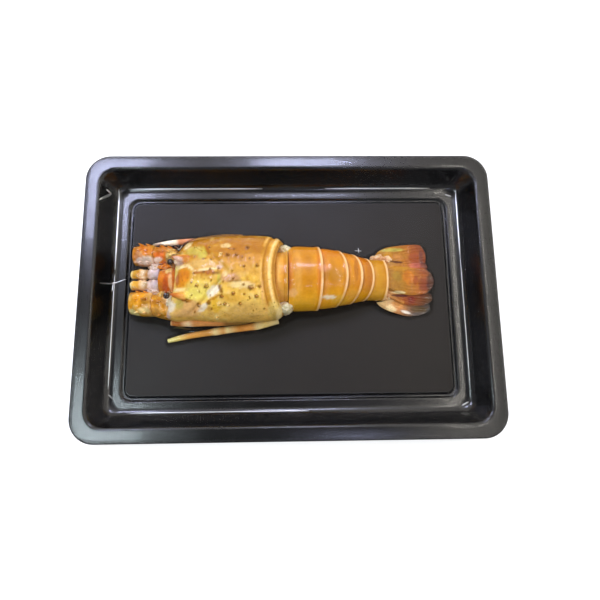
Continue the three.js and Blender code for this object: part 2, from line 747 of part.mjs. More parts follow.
/** A block of the tray's outline, that trims the film to it. */
function trimBlock() {
  const radius = CORNER_RADIUS[0][1];
  const [x, y] = [TRAY.length / 2 - FILM.trim, TRAY.width / 2 - FILM.trim];
  const outline = new THREE.Shape()
    .absarc(x - radius, y - radius, radius, 0, PI / 2)
    .absarc(radius - x, y - radius, radius, PI / 2, PI)
    .absarc(radius - x, radius - y, radius, PI, PI * 1.5)
    .absarc(x - radius, radius - y, radius, PI * 1.5, PI * 2);
  const settings = { depth: FAR_ABOVE, bevelEnabled: false, curveSegments: CORNER_STEPS };
  return reshaped(new THREE.ExtrudeGeometry(outline, settings), (p) => p);
}

// ---- Assembly ----

const food = [
  add("carapace", carapace(), COLOURS.carapace),
  add("antennular_plate", antennularPlate(), COLOURS.head),
  add("antennule_near", antennule(ANTENNULES.near), COLOURS.head),
  add("antennule_far", antennule(ANTENNULES.far), COLOURS.head),
  add("eye_near", eye(-1), COLOURS.eye),
  add("eye_far", eye(1), COLOURS.eye),
  add("joint_skin_near", jointSkin(-1), COLOURS.joint),
  add("joint_skin_far", jointSkin(1), COLOURS.joint),
];
for (const [name, sizes] of Object.entries(ANTENNA_BASES)) {
  food.push(add(`antenna_base_${name}`, antennaBase(sizes), COLOURS.head));
}
for (const [name, { path, radii }] of Object.entries(LEGS)) {
  food.push(add(`leg_${name}`, limb(route(...path), radii, 8, 14), COLOURS.limb));
}
for (let index = 1; index < JOINTS.length; index++) {
  food.push(add(`abdomen_segment_${index}`, segment(index), COLOURS.abdomen));
}
for (const [name, sizes] of Object.entries(BLADES)) {
  food.push(add(name, blade(sizes), COLOURS.fan));
}
const trayMesh = add("tray", tray(), COLOURS.tray);
add("skin_film", skinFilm(trayMesh, food), COLOURS.film, { transparent: true, opacity: 0.2 });

export default root;
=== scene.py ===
"""The finished look of a vacuum skin pack: a cooked spiny lobster in a black formed tray, under clear film.

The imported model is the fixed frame, and each piece here stands for one of its nodes. Sizes are in millimetres
in the frame's own axes: +X from the lobster's head to its tail, +Y away from the viewer, +Z up. A piece is
turned to metres as it is finished.
"""

import logging
import math
import random
from dataclasses import dataclass
from enum import Enum
from typing import Callable, Iterable, Optional, Sequence

import bmesh
import bpy
import numpy as np
from mathutils import Matrix, Vector, noise
from mathutils.bvhtree import BVHTree


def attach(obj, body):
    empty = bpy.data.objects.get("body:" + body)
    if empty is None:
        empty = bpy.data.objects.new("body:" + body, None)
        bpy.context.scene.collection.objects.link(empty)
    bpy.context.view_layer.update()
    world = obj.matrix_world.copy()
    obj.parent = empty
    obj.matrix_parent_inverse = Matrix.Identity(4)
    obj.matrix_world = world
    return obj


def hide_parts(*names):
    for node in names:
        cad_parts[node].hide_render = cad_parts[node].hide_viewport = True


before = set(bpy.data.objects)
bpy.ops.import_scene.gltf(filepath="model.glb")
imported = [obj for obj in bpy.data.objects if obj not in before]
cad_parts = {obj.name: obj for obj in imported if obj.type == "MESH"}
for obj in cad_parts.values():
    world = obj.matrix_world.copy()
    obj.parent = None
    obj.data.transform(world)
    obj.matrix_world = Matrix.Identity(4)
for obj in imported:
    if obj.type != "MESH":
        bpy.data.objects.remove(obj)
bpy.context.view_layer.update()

LOG = logging.getLogger("skin_pack")

MM = 0.001
BODY = "root"

Piece = bpy.types.Object
Material = bpy.types.Material
Tree = bpy.types.NodeTree
Node = bpy.types.Node
Socket = bpy.types.NodeSocket
Body = bmesh.types.BMesh

Pair = tuple[float, float]
Triple = tuple[float, float, float]
Rgb = Triple  # a linear colour
Seen = tuple[int, int, int]  # a colour as the eye sees it on a screen, 0 to 255
Stations = Sequence[Pair]
Ramp = Sequence[tuple[float, Rgb]]
Skin = Callable[[float, float], Vector]
Shade = Callable[[float, float, Vector], Vector]

TINT = "tint"  # the attribute that holds a shell's painted colours
GRIP = "grip"  # the attribute of the film that is 1 where it lies on the grained panel

FLOOR = 2.6  # the tray's floor above what the tray stands on
FLANGE = 21.6
BELLY = 2.9  # what the lobster rests on
AXIS_Y = 10.0  # the line that the lobster lies along
HEAD_Y = 7.0
TAIL_Y = 10.5
ABOVE = 200.0  # a height over everything, from which rays are cast down
DOWN = Vector((0, 0, -1))

# The powers that round a shell's section: its back, its flanks, its underside and the tuck above that.
BACK_POWER = 0.92
FLANK_POWER = 0.9
UNDER_POWER = 0.6
TUCK_POWER = 1.5

# Lumpy noise: the size of its finer lumps as a share of the broad ones, their share in the sum, and its gain.
FINE_SIZE = 0.42
FINE_SHARE = 0.35
CRUST_GAIN = 1.5

SPINE_SUNK = 0.9  # how deep a spine's root lies, as a share of its radius
SPINE_TIP = 0.22  # the radius of its tip, as a share of its root's
WELD = 1e-4  # points nearer than this are merged
SHORTEST = 1e-5  # an edge shorter than this is dissolved
AHEAD = 0.01  # the share of a limb over which its direction is taken

DAB_WAVE = 1.6  # the size of the waves of a dab's edge
DAB_RAGGED = 0.14  # their height as a share of its reach
DAB_END = 1.25  # where it ends, as a share of its reach
DAB_FADE = 0.55  # how wide its soft edge is, likewise


# ---- Numbers and colours ----


def to_linear(value: float) -> float:
    """The linear value of one that a screen shows, both 0 to 1."""
    return value / 12.92 if value <= 0.04045 else ((value + 0.055) / 1.055) ** 2.4


def seen(red: int, green: int, blue: int) -> Rgb:
    """A linear colour from the one that the eye sees on a screen, 0 to 255."""
    return to_linear(red / 255), to_linear(green / 255), to_linear(blue / 255)


def ramp(*stops: tuple[float, int, int, int]) -> Ramp:
    """A run of (place, colour) stops from (place, red, green, blue) ones, as the eye sees them."""
    return tuple((place, seen(*colour)) for place, *colour in stops)


def lerp(start: float, end: float, share: float) -> float:
    """The value at a share of the way from start to end."""
    return start + (end - start) * share


def clamp(value: float, low: float = 0.0, high: float = 1.0) -> float:
    """The value held between two limits."""
    return max(low, min(high, value))


def smoothstep(value: float, low: float, high: float) -> float:
    """A smooth rise from 0 at low to 1 at high."""
    share = clamp((value - low) / (high - low))
    return share * share * (3 - 2 * share)


def bump(distance: float, half_width: float) -> float:
    """A smooth hump: 1 in the middle, 0 from half_width on."""
    share = clamp(1 - abs(distance) / half_width)
    return share * share * (3 - 2 * share)


def grade(stations: Stations, i: int) -> float:
    """The rise over the run between a station and the one before it."""
    return (stations[i][1] - stations[i - 1][1]) / (stations[i][0] - stations[i - 1][0])


def slope(stations: Stations, i: int) -> float:
    """How steep a smooth line through stations is at one of them.

    Args:
        stations: (place, value) pairs in order.
        i: the station's index.

    Returns:
        The slope, 0 where the line turns back.
    """
    if i == 0 or i == len(stations) - 1:
        return grade(stations, max(i, 1))
    left, right = grade(stations, i), grade(stations, i + 1)
    return 0.0 if left * right <= 0 else 2 * left * right / (left + right)


def along(stations: Stations, at: float) -> float:
    """The value at a place on a smooth line through stations, level beyond its ends.

    Args:
        stations: (place, value) pairs in order.
        at: the place.

    Returns:
        The value, with no overshoot between two stations.
    """
    if at <= stations[0][0]:
        return stations[0][1]
    if at >= stations[-1][0]:
        return stations[-1][1]
    k = next(i for i, (place, _) in enumerate(stations) if place >= at)
    (x0, v0), (x1, v1) = stations[k - 1], stations[k]
    width = x1 - x0
    t = (at - x0) / width
    return (
        v0 * (1 + 2 * t) * (1 - t) ** 2
        + v1 * t * t * (3 - 2 * t)
        + width * (slope(stations, k - 1) * t * (1 - t) ** 2 - slope(stations, k) * t * t * (1 - t))
    )


def upward(angle: float) -> float:
    """How far a skin faces up at an angle about its body, 0 on the underside."""
    return max(0.0, math.cos(angle))


def wrinkle(place: Vector, size: float) -> float:
    """Smooth noise from about -1 to 1 with features of a size in millimetres."""
    return noise.noise(place / size)


def crust(place: Vector, size: float) -> float:
    """Lumpy noise from -1 to 1: broad lumps of a size in millimetres, with finer ones on them."""
    broad, fine = wrinkle(place, size), wrinkle(place, FINE_SIZE * size)
    return clamp(CRUST_GAIN * ((1 - FINE_SHARE) * broad + FINE_SHARE * fine), -1, 1)


# ---- Meshes ----


def loft(
    skin: Skin,
    rings: int,
    sides: int,
    shade: Optional[Shade] = None,
    foot: Optional[Vector] = None,
    tip: Optional[Vector] = None,
) -> Body:
    """A closed body rolled up from a flat grid.

    Args:
        skin: gives the point at (v, angle), with v from 0 to 1 along the body.
        rings: rows of faces along the body.
        sides: faces round the body.
        shade: gives the colour at (v, angle, point), or None for a body that isn't painted.
        foot: the middle of the first end, or None for the mean of its ring.
        tip: the middle of the last end, or None for the mean of its ring.

    Returns:
        The body, merged, with its faces outwards.
    """
    bm = bmesh.new()
    layer = bm.verts.layers.float_color.new(TINT)
    bmesh.ops.create_grid(bm, x_segments=rings + 2, y_segments=sides, size=1)
    columns = rings + 3
    for index, vertex in enumerate(bm.verts):
        i, j = index % columns, index // columns
        v, angle = clamp((i - 1) / rings), 2 * math.pi * (j % sides) / sides
        vertex.co = skin(v, angle)
        if shade:
            vertex[layer] = (*shade(v, angle, vertex.co), 1.0)
    verts = list(bm.verts)
    for i, middle, beside in ((0, foot, 1), (columns - 1, tip, columns - 2)):
        if middle is None:
            ring = [verts[beside + j * columns].co for j in range(sides)]
            middle = sum(ring, Vector()) / sides
        for j in range(sides + 1):
            verts[i + j * columns].co = middle
    bmesh.ops.remove_doubles(bm, verts=bm.verts, dist=WELD)
    bmesh.ops.dissolve_degenerate(bm, edges=bm.edges, dist=SHORTEST)
    bmesh.ops.recalc_face_normals(bm, faces=bm.faces)
    return bm


def arch(half_width: float, top: float, bottom: float, widest: float, tuck: float, angle: float) -> Pair:
    """A point of a round-backed section whose flanks tuck in below its widest level.

    Args:
        half_width: half the width at the widest level.
        top: the level of the back.
        bottom: the level of the underside.
        widest: height of the widest level, as a share of the whole height.
        tuck: width of the underside, as a share of the whole width.
        angle: about the section's middle, 0 on the back.

    Returns:
        The point across and up.
    """
    s, c = math.sin(angle), math.cos(angle)
    middle = lerp(bottom, top, widest)
    narrowing = lerp(1, tuck, abs(c) ** TUCK_POWER) if c < 0 else 1.0
    rise = (top - middle) * c**BACK_POWER if c > 0 else (bottom - middle) * abs(c) ** UNDER_POWER
    return half_width * narrowing * math.copysign(abs(s) ** FLANK_POWER, s), middle + rise


def add_spine(bm: Body, at: Vector, lean: Vector, height: float, radius: float, sides: int = 9) -> None:
    """Stands a blunt spine on a skin, with its root sunk in.

    Args:
        bm: the mesh it joins.
        at: the point on the skin.
        lean: the way it points.
        height: from the skin to its tip.
        radius: at its root.
        sides: faces round it.
    """
    sunk = radius * SPINE_SUNK
    turn = lean.normalized().to_track_quat("Z", "Y").to_matrix().to_4x4()
    middle = at + lean.normalized() * ((height - sunk) / 2)
    bmesh.ops.create_cone(
        bm,
        cap_ends=True,
        segments=sides,
        radius1=radius,
        radius2=radius * SPINE_TIP,
        depth=height + sunk,
        matrix=Matrix.Translation(middle) @ turn,
    )


def absorbed(bm: Body, other: Body) -> None:
    """Moves another body into a mesh.

    Args:
        bm: the mesh.
        other: the body, which is used up.
    """
    carrier = bpy.data.meshes.new("carrier")
    other.to_mesh(carrier)
    other.free()
    bm.from_mesh(carrier)
    bpy.data.meshes.remove(carrier)


def limb_skin(path: Sequence[Vector], radius: Callable[[float], float]) -> Skin:
    """The skin of a round limb along a smooth curve through points.

    Args:
        path: the points.
        radius: gives the limb's radius at a share of its length.

    Returns:
        The skin, as a function of that share and an angle about the curve.
    """
    lengths = [0.0]
    for a, b in zip(path, path[1:]):
        lengths.append(lengths[-1] + (b - a).length)
    runs = [[(at / lengths[-1], p[axis]) for at, p in zip(lengths, path)] for axis in range(3)]

    def middle(v: float) -> Vector:
        """The curve's point at a share of its length."""
        return Vector([along(run, v) for run in runs])

    def skin(v: float, angle: float) -> Vector:
        """The skin's point.

        Args:
            v: the share of the limb's length.
            angle: about the curve, 0 on top.

        Returns:
            The point.
        """
        ahead = (middle(min(1, v + AHEAD)) - middle(max(0, v - AHEAD))).normalized()
        side = ahead.cross(Vector((0, 0, 1))).normalized()
        over = side.cross(ahead)
        return middle(v) + radius(v) * (side * math.sin(angle) + over * math.cos(angle))

    return skin


# ---- Painting ----


@dataclass(frozen=True)
class Dab:
    """A soft-edged stain on a shell, or in a few places a painted highlight or painted shade: an ellipse seen
    from above, in millimetres and degrees.
    """

    x: float
    y: float
    reach_x: float
    reach_y: float
    colour: Seen
    strength: float = 1.0
    turn: float = 0.0

    def share(self, places: np.ndarray) -> np.ndarray:
        """How much of it lies at each place.

        Args:
            places: points in millimetres, one a row.

        Returns:
            A share for each point, 0 to the dab's strength.
        """
        c, s = math.cos(math.radians(self.turn)), math.sin(math.radians(self.turn))
        dx, dy = places[:, 0] - self.x, places[:, 1] - self.y
        far = np.hypot((dx * c + dy * s) / self.reach_x, (dy * c - dx * s) / self.reach_y)
        far = far + DAB_RAGGED * ragged(places, DAB_WAVE)
        share = np.clip((DAB_END - far) / DAB_FADE, 0, 1)
        return self.strength * share * share * (3 - 2 * share)


def ragged(places: np.ndarray, size: float) -> np.ndarray:
    """A wavy value at each place.

    Args:
        places: points in millimetres, one a row.
        size: of its features.

    Returns:
        A value for each point, -1 to 1.
    """
    x, y, z = (places / size).T
    first = np.sin(2.1 * x + 1.3 * np.sin(1.7 * y + z))
    return 0.5 * (first + np.sin(2.7 * y + 1.1 * np.sin(2.3 * x - 1.3 * z)))


def blend(stops: Ramp, at: float) -> Vector:
    """The colour at a place on a run of stops.

    Args:
        stops: (place, colour) pairs in order.
        at: the place.

    Returns:
        The colour, level beyond the ends.
    """
    if at <= stops[0][0]:
        return Vector(stops[0][1])
    for (x0, low), (x1, high) in zip(stops, stops[1:]):
        if at <= x1:
            return Vector(low).lerp(Vector(high), (at - x0) / (x1 - x0))
    return Vector(stops[-1][1])


@dataclass(frozen=True)
class Crust:
    """A lumpy skin: the size of its lumps, and its colours on them and between them, partly painted light on
    the lumps and painted shade between them.
    """

    size: float
    height: float
    crest: Seen
    hollow: Seen
    strength: float

    def rise(self, place: Vector) -> float:
        """How far the skin stands out at a place."""
        return self.height * crust(place, self.size)

    def over(self, shell: Vector, place: Vector) -> Vector:
        """A shell's colour, paler on the lumps and browner between them: partly its own colour, partly painted
        light and painted shade.

        Args:
            shell: the colour without the lumps.
            place: the point of the skin.

        Returns:
            The colour there.
        """
        lump = crust(place, self.size)
        colour = self.crest if lump > 0 else self.hollow
        return shell.lerp(Vector(seen(*colour)), self.strength * smoothstep(abs(lump), 0.1, 0.9))

    def painted(self, colours: Ramp) -> Shade:
        """The shade of a body with a run of colours along it, under the lumps."""
        return lambda v, angle, place: self.over(blend(colours, v), place)


def tinted(bm: Body, shade: Callable[[Vector], Vector]) -> None:
    """Colours every vertex that is still as white as a new one.

    Args:
        bm: the mesh.
        shade: gives the colour at a place.
    """
    layer = bm.verts.layers.float_color.get(TINT) or bm.verts.layers.float_color.new(TINT)
    for vertex in bm.verts:
        if min(vertex[layer]) >= 1:
            vertex[layer] = (*shade(vertex.co), 1.0)


def dabbed(mesh: bpy.types.Mesh, dabs: Iterable[Dab]) -> None:
    """Lays dabs over the colours that a finished mesh has.

    Args:
        mesh: the mesh, in metres.
        dabs: the dabs, lowest first.
    """
    places = np.empty(len(mesh.vertices) * 3)
    mesh.vertices.foreach_get("co", places)
    places = places.reshape(-1, 3) / MM
    layer = mesh.color_attributes[TINT].data
    colours = np.empty(len(layer) * 4)
    layer.foreach_get("color", colours)
    colours = colours.reshape(-1, 4)
    for dab in dabs:
        share = dab.share(places)[:, None]
        colours[:, :3] += (np.array(seen(*dab.colour)) - colours[:, :3]) * share
    layer.foreach_set("color", colours.ravel())


# The lobster's colours, as the eye sees them.
CREAM = (252, 230, 176)
WHITE = (255, 244, 224)
LILAC = (226, 200, 192)
LEMON = (244, 226, 122)
SAND = (224, 182, 112)
PEACH = (240, 190, 132)
OCHRE = (218, 160, 62)
ORANGE = (218, 134, 44)
ROSE = (210, 122, 100)
MAUVE = (210, 160, 124)
OLIVE = (206, 192, 100)
RUST = (180, 100, 26)
BROWN = (132, 80, 22)
UMBER = (104, 58, 26)
SMOKE = (128, 112, 104)
NEAR_BLACK = (0.003, 0.003, 0.003)  # the darkest that a shell gets


# ---- Effects shared by several finishes ----


class Wiring:
    """Adds and links the nodes of one tree."""

    def __init__(self, tree: Tree) -> None:
        """Starts with the tree as it is."""
        self.tree = tree

    def add(self, kind: str, **settings: object) -> Node:
        """A new node.

        Args:
            kind: the node's type.
            settings: its properties, and, with a leading capital, its inputs, as plug takes them.

        Returns:
            The node.
        """
        node = self.tree.nodes.new(kind)
        for key, value in settings.items():
            if key[0].islower():
                setattr(node, key, value)
        self.plug(node, **{key: value for key, value in settings.items() if key[0].isupper()})
        return node

    def plug(self, node: Node, **sockets: object) -> None:
        """Feeds a node's inputs by name, with _ for a space."""
        for key, value in sockets.items():
            self.feed(node.inputs[key.replace("_", " ")], value)

    def feed(self, socket: Socket, value: object) -> None:
        """Links an output to a socket, or sets the socket's own value.

        Args:
            socket: the input socket.
            value: the output or the value.
        """
        if isinstance(value, Socket):
            self.tree.links.new(value, socket)
        else:
            socket.default_value = value

    def fill(self, node: Node, values: Iterable[object]) -> None:
        """Feeds a node's inputs in order."""
        for socket, value in zip(node.inputs, values):
            self.feed(socket, value)

    def maths(self, operation: str, *values: object, clamped: bool = False) -> Socket:
        """A Math node.

        Args:
            operation: what it does.
            values: its inputs, in order.
            clamped: whether the result is held between 0 and 1.

        Returns:
            Its output.
        """
        node = self.add("ShaderNodeMath", operation=operation, use_clamp=clamped)
        self.fill(node, values)
        return node.outputs[0]

    def mix(self, share: object, first: object, second: object) -> Socket:
        """A colour Mix node.

        Args:
            share: of the second colour.
            first: the first colour.
            second: the second colour.

        Returns:
            Its output.
        """
        node = self.add("ShaderNodeMix", data_type="RGBA")
        for socket, value in ((node.inputs[0], share), (node.inputs[6], first), (node.inputs[7], second)):
            self.feed(socket, value)
        return node.outputs[2]

    def unveiled(self, colour: Socket, veil: Rgb) -> Socket:
        """A colour less a veil, held above black.

        Args:
            colour: the output that gives the colour.
            veil: what is taken off it.

        Returns:
            The output that gives what is left.
        """
        less = self.add("ShaderNodeVectorMath", operation="SUBTRACT")
        held = self.add("ShaderNodeVectorMath", operation="MAXIMUM")
        self.fill(less, (colour, veil))
        self.fill(held, (less.outputs["Vector"], NEAR_BLACK))
        return held.outputs["Vector"]

    def spread(self, value: object, low: float, high: float, to_low: float, to_high: float) -> Socket:
        """A smooth change from to_low, where the value is low, to to_high, where it is high."""
        ends = {"From_Min": low, "From_Max": high, "To_Min": to_low, "To_Max": to_high}
        return self.add("ShaderNodeMapRange", interpolation_type="SMOOTHSTEP", Value=value, **ends).outputs[0]


class Effect(Enum):
    """The shared effects, each a node group that is made once."""

    MOTTLE = "shell_mottle"
    GRAIN = "fine_grain"


def new_group(
    which: Effect, inputs: Sequence[str], outputs: Sequence[str]
) -> tuple[Tree, Wiring, Node, Node]:
    """An empty node group. A socket whose name ends in Color is a colour, and any other a number.

    Args:
        which: the effect that it is for.
        inputs: the names of its inputs.
        outputs: the names of its outputs.

    Returns:
        The group, its wiring, its input node and its output node.
    """
    tree = bpy.data.node_groups.new(which.value, "ShaderNodeTree")
    for in_out, names in (("INPUT", inputs), ("OUTPUT", outputs)):
        for name in names:
            kind = "NodeSocketColor" if name.endswith("Color") else "NodeSocketFloat"
            tree.interface.new_socket(name=name, in_out=in_out, socket_type=kind)
    wiring = Wiring(tree)
    return tree, wiring, wiring.add("NodeGroupInput"), wiring.add("NodeGroupOutput")


def mottle_effect() -> Tree:
    """Cloudy variation and pinpoint specks of a cooked shell.

    Returns:
        The node group.
    """
    tree, w, given, out = new_group(
        Effect.MOTTLE, ("Color", "Clouds", "Specks", "Speck Color"), ("Color", "Height", "Gloss")
    )
    place = w.add("ShaderNodeTexCoord").outputs["Object"]
    cloud = w.add("ShaderNodeTexNoise", Vector=place, Scale=150.0, Detail=4.0, Roughness=0.62).outputs["Fac"]
    fine = w.add("ShaderNodeTexNoise", Vector=place, Scale=620.0, Detail=3.0, Roughness=0.6).outputs["Fac"]
    cells = w.add("ShaderNodeTexVoronoi", Vector=place, Scale=340.0, Randomness=1.0).outputs["Distance"]
    dots = w.maths("MULTIPLY", w.spread(cells, 0.12, 0.3, 1.0, 0.0), w.spread(cloud, 0.45, 0.6, 0.0, 1.0))
    both = w.maths("ADD", w.maths("MULTIPLY", cloud, 0.7), w.maths("MULTIPLY", fine, 0.3))
    swing = w.maths("MULTIPLY", w.maths("SUBTRACT", both, 0.5), given.outputs["Clouds"])
    value = w.maths("ADD", 1.0, w.maths("MULTIPLY", swing, 2.0))
    hue = w.maths("ADD", 0.5, w.maths("MULTIPLY", swing, 0.06))
    varied = w.add("ShaderNodeHueSaturation", Color=given.outputs["Color"], Hue=hue, Value=value)
    speck = w.maths("MULTIPLY", dots, given.outputs["Specks"], clamped=True)
    w.plug(
        out,
        Color=w.mix(speck, varied.outputs["Color"], given.outputs["Speck Color"]),
        Height=w.maths("ADD", w.maths("MULTIPLY", cloud, 0.6), w.maths("MULTIPLY", fine, 0.4)),
        Gloss=w.spread(both, 0.3, 0.7, -0.08, 0.08),
    )
    return tree


def grain_effect() -> Tree:
    """The fine dimpled grain of formed plastic, with faint broad waves.

    Returns:
        The node group.
    """
    tree, w, given, out = new_group(Effect.GRAIN, ("Scale",), ("Height", "Mask"))
    place = w.add("ShaderNodeTexCoord").outputs["Object"]
    cells = w.add("ShaderNodeTexVoronoi", Vector=place, Scale=given.outputs["Scale"]).outputs["Distance"]
    broad = w.add("ShaderNodeTexNoise", Vector=place, Scale=28.0, Detail=2.0).outputs["Fac"]
    w.plug(out, Height=cells, Mask=broad)
    return tree


EFFECT_MAKERS = {Effect.MOTTLE: mottle_effect, Effect.GRAIN: grain_effect}


def effect(w: Wiring, which: Effect, **values: object) -> Node:
    """Places a shared effect in a material with its inputs by name, and makes it the first time."""
    tree = bpy.data.node_groups.get(which.value) or EFFECT_MAKERS[which]()
    return w.add("ShaderNodeGroup", node_tree=tree, **values)


# ---- Finishes ----


def new_material(name: str) -> tuple[Material, Wiring, Node]:
    """An empty material with its main shader.

    Args:
        name: the material's name.

    Returns:
        The material, its wiring and its Principled shader, linked to the output.
    """
    material = bpy.data.materials.new(name)
    material.use_nodes = True
    w = Wiring(material.node_tree)
    material.node_tree.nodes.clear()
    shader = w.add("ShaderNodeBsdfPrincipled")
    out = w.add("ShaderNodeOutputMaterial")
    w.plug(out, Surface=shader.outputs["BSDF"])
    return material, w, shader


@dataclass(frozen=True)
class ShellFinish:
    """A cooked shell. Its broad colours are painted on the piece, and this adds what is finer."""

    name: str
    clouds: float = 0.5
    specks: float = 0.5
    speck: Seen = (140, 80, 20)
    roughness: float = 0.42
    grain: float = 0.25
    subsurface: float = 0.06
    ior: float = 1.33
    depth: float = 1.12  # draws the colours in, as the film's gloss lightens them
    veil: Rgb = (0.0, 0.0, 0.0)  # taken off the colour, as the lamps' lavender gloss adds it again
    relief: float = 0.0006  # the height of its grain, in metres
    scatter: Triple = (0.003, 0.0014, 0.0006)  # how far each colour spreads under the skin, in metres

    def material(self) -> Material:
        """Makes the finish.

        Returns:
            The material.
        """
        made, w, shader = new_material(self.name)
        tint = w.add("ShaderNodeAttribute", attribute_name=TINT).outputs["Color"]
        speck = (*seen(*self.speck), 1)
        mottle = effect(
            w, Effect.MOTTLE, Color=tint, Clouds=self.clouds, Specks=self.specks, Speck_Color=speck
        )
        deep = w.add("ShaderNodeGamma", Color=mottle.outputs["Color"], Gamma=self.depth)
        height = mottle.outputs["Height"]
        relief = w.add("ShaderNodeBump", Strength=self.grain, Distance=self.relief, Height=height)
        w.plug(
            shader,
            Base_Color=w.unveiled(deep.outputs["Color"], self.veil),
            Roughness=w.maths("ADD", self.roughness, mottle.outputs["Gloss"], clamped=True),
            Normal=relief.outputs["Normal"],
            Subsurface_Weight=self.subsurface,
            Subsurface_Radius=self.scatter,
            Subsurface_Scale=1.0,
            IOR=self.ior,
        )
        return made


@dataclass(frozen=True)
class FormedPlastic:
    """Black formed sheet: glossy, or grained where the mould was blasted."""

    name: str
    colour: Rgb
    roughness: float
    grain_scale: float
    grain: float
    unevenness: float = 0.06
    ior: float = 1.4
    relief: float = 0.0002  # the height of its grain, in metres
    paler: float = 1.35  # how much lighter its broad waves are

    def material(self) -> Material:
        """Makes the finish.

        Returns:
            The material.
        """
        made, w, shader = new_material(self.name)
        grain = effect(w, Effect.GRAIN, Scale=self.grain_scale)
        mask, height = grain.outputs["Mask"], grain.outputs["Height"]
        paler = tuple(self.paler * c for c in self.colour)
        uneven = w.spread(mask, 0.3, 0.7, -self.unevenness, self.unevenness)
        relief = w.add("ShaderNodeBump", Strength=self.grain, Distance=self.relief, Height=height)
        w.plug(
            shader,
            Base_Color=w.mix(mask, (*self.colour, 1), (*paler, 1)),
            Roughness=w.maths("ADD", self.roughness, uneven, clamped=True),
            Normal=relief.outputs["Normal"],
            IOR=self.ior,
        )
        return made


@dataclass(frozen=True)
class ClearFilm:
    """Clear glossy film: see-through but for its reflections."""

    name: str = "clear_film"
    roughness: float = 0.12
    grained: float = 0.5  # roughness where the film has taken on the panel's grain
    ior: float = 1.28
    waves: float = 0.12
    wave_scale: float = 420.0
    relief: float = 0.0003  # the height of its waves, in metres
    milk: float = 0.0  # the least share of light that it throws back, where it lies double
    clearness: float = 0.985  # the share of light that goes through

    def material(self) -> Material:
        """Makes the finish.

        Returns:
            The material.
        """
        made, w, shader = new_material(self.name)
        wave = effect(w, Effect.GRAIN, Scale=self.wave_scale).outputs["Mask"]
        relief = w.add("ShaderNodeBump", Strength=self.waves, Distance=self.relief, Height=wave)
        normal = relief.outputs["Normal"]
        grip = w.add("ShaderNodeAttribute", attribute_name=GRIP).outputs["Fac"]
        roughness = w.spread(grip, 0.0, 1.0, self.roughness, self.grained)
        w.plug(shader, Base_Color=(1, 1, 1, 1), Metallic=1.0, Roughness=roughness, Normal=normal)
        gloss = w.add("ShaderNodeFresnel", IOR=self.ior, Normal=normal).outputs["Fac"]
        outer = w.maths("SUBTRACT", 1.0, w.add("ShaderNodeNewGeometry").outputs["Backfacing"])
        share = w.maths("MULTIPLY", w.maths("MAXIMUM", gloss, self.milk), outer, clamped=True)
        clear = w.add("ShaderNodeBsdfTransparent", Color=(*(self.clearness,) * 3, 1))
        mixed = w.add("ShaderNodeMixShader")
        w.fill(mixed, (share, clear.outputs["BSDF"], shader.outputs["BSDF"]))
        out = next(node for node in made.node_tree.nodes if node.type == "OUTPUT_MATERIAL")
        w.plug(out, Surface=mixed.outputs["Shader"])
        return made


@dataclass(frozen=True)
class EyeFinish:
    """A cooked eye, dark and wet."""

    name: str = "dark_eye"
    rim: Seen = (120, 78, 40)
    clouds: float = 0.5
    roughness: float = 0.18

    def material(self) -> Material:
        """Makes the finish.

        Returns:
            The material.
        """
        made, w, shader = new_material(self.name)
        tint = w.add("ShaderNodeAttribute", attribute_name=TINT).outputs["Color"]
        mottle = effect(
            w, Effect.MOTTLE, Color=tint, Clouds=self.clouds, Specks=0.0, Speck_Color=(*seen(*self.rim), 1)
        )
        w.plug(shader, Base_Color=mottle.outputs["Color"], Roughness=self.roughness)
        return made


class Finishes:
    """Every finish of the pack, made once."""

    def __init__(self) -> None:
        """Makes the materials."""
        self.gloss = FormedPlastic(
            "black_gloss", (0.0025, 0.0025, 0.0027), 0.23, 900.0, 0.02, unevenness=0.03, ior=1.5
        ).material()
        self.panel = FormedPlastic(
            "grained_panel", (0.009, 0.0062, 0.0034), 0.5, 1500.0, 0.2, ior=1.24
        ).material()
        self.film = ClearFilm().material()
        self.folded = ClearFilm("folded_film", roughness=0.3, milk=0.75).material()
        self.carapace = ShellFinish("carapace_shell", specks=0.55, veil=(-0.02, -0.01, 0.03)).material()
        self.abdomen = ShellFinish(
            "abdomen_shell", clouds=0.34, specks=0.12, roughness=0.36, grain=0.16, veil=(-0.02, -0.035, 0.03)
        ).material()
        self.fan = ShellFinish(
            "fan_shell", clouds=0.6, specks=0.35, roughness=0.45, grain=0.35, veil=(0.05, 0.03, 0.025)
        ).material()
        self.head = ShellFinish(
            "head_shell", clouds=0.7, specks=0.3, roughness=0.4, grain=0.4, veil=(-0.04, -0.05, 0.03)
        ).material()
        self.limb = ShellFinish("leg_shell", specks=0.2, roughness=0.4, veil=(-0.15, -0.13, -0.02)).material()
        self.skin = ShellFinish("joint_skin", clouds=0.4, specks=0, roughness=0.5, subsurface=0.15).material()
        self.eye = EyeFinish().material()


# ---- Pieces ----


def placed(name: str, data: object) -> Piece:
    """Puts a new object in the scene.

    Args:
        name: of the object.
        data: its mesh, lamp or camera.

    Returns:
        The object.
    """
    thing = bpy.data.objects.new(name, data)
    bpy.context.scene.collection.objects.link(thing)
    return thing


class Slot(Enum):
    """The record's material slots."""

    TRAY = "tray"
    FILM = "film"
    CARAPACE = "carapace"
    ABDOMEN = "abdomen"
    TAIL_FAN = "tail_fan"
    HEAD = "head"
    LEG = "leg"
    JOINT_SKIN = "joint_skin"
    EYE = "eye"


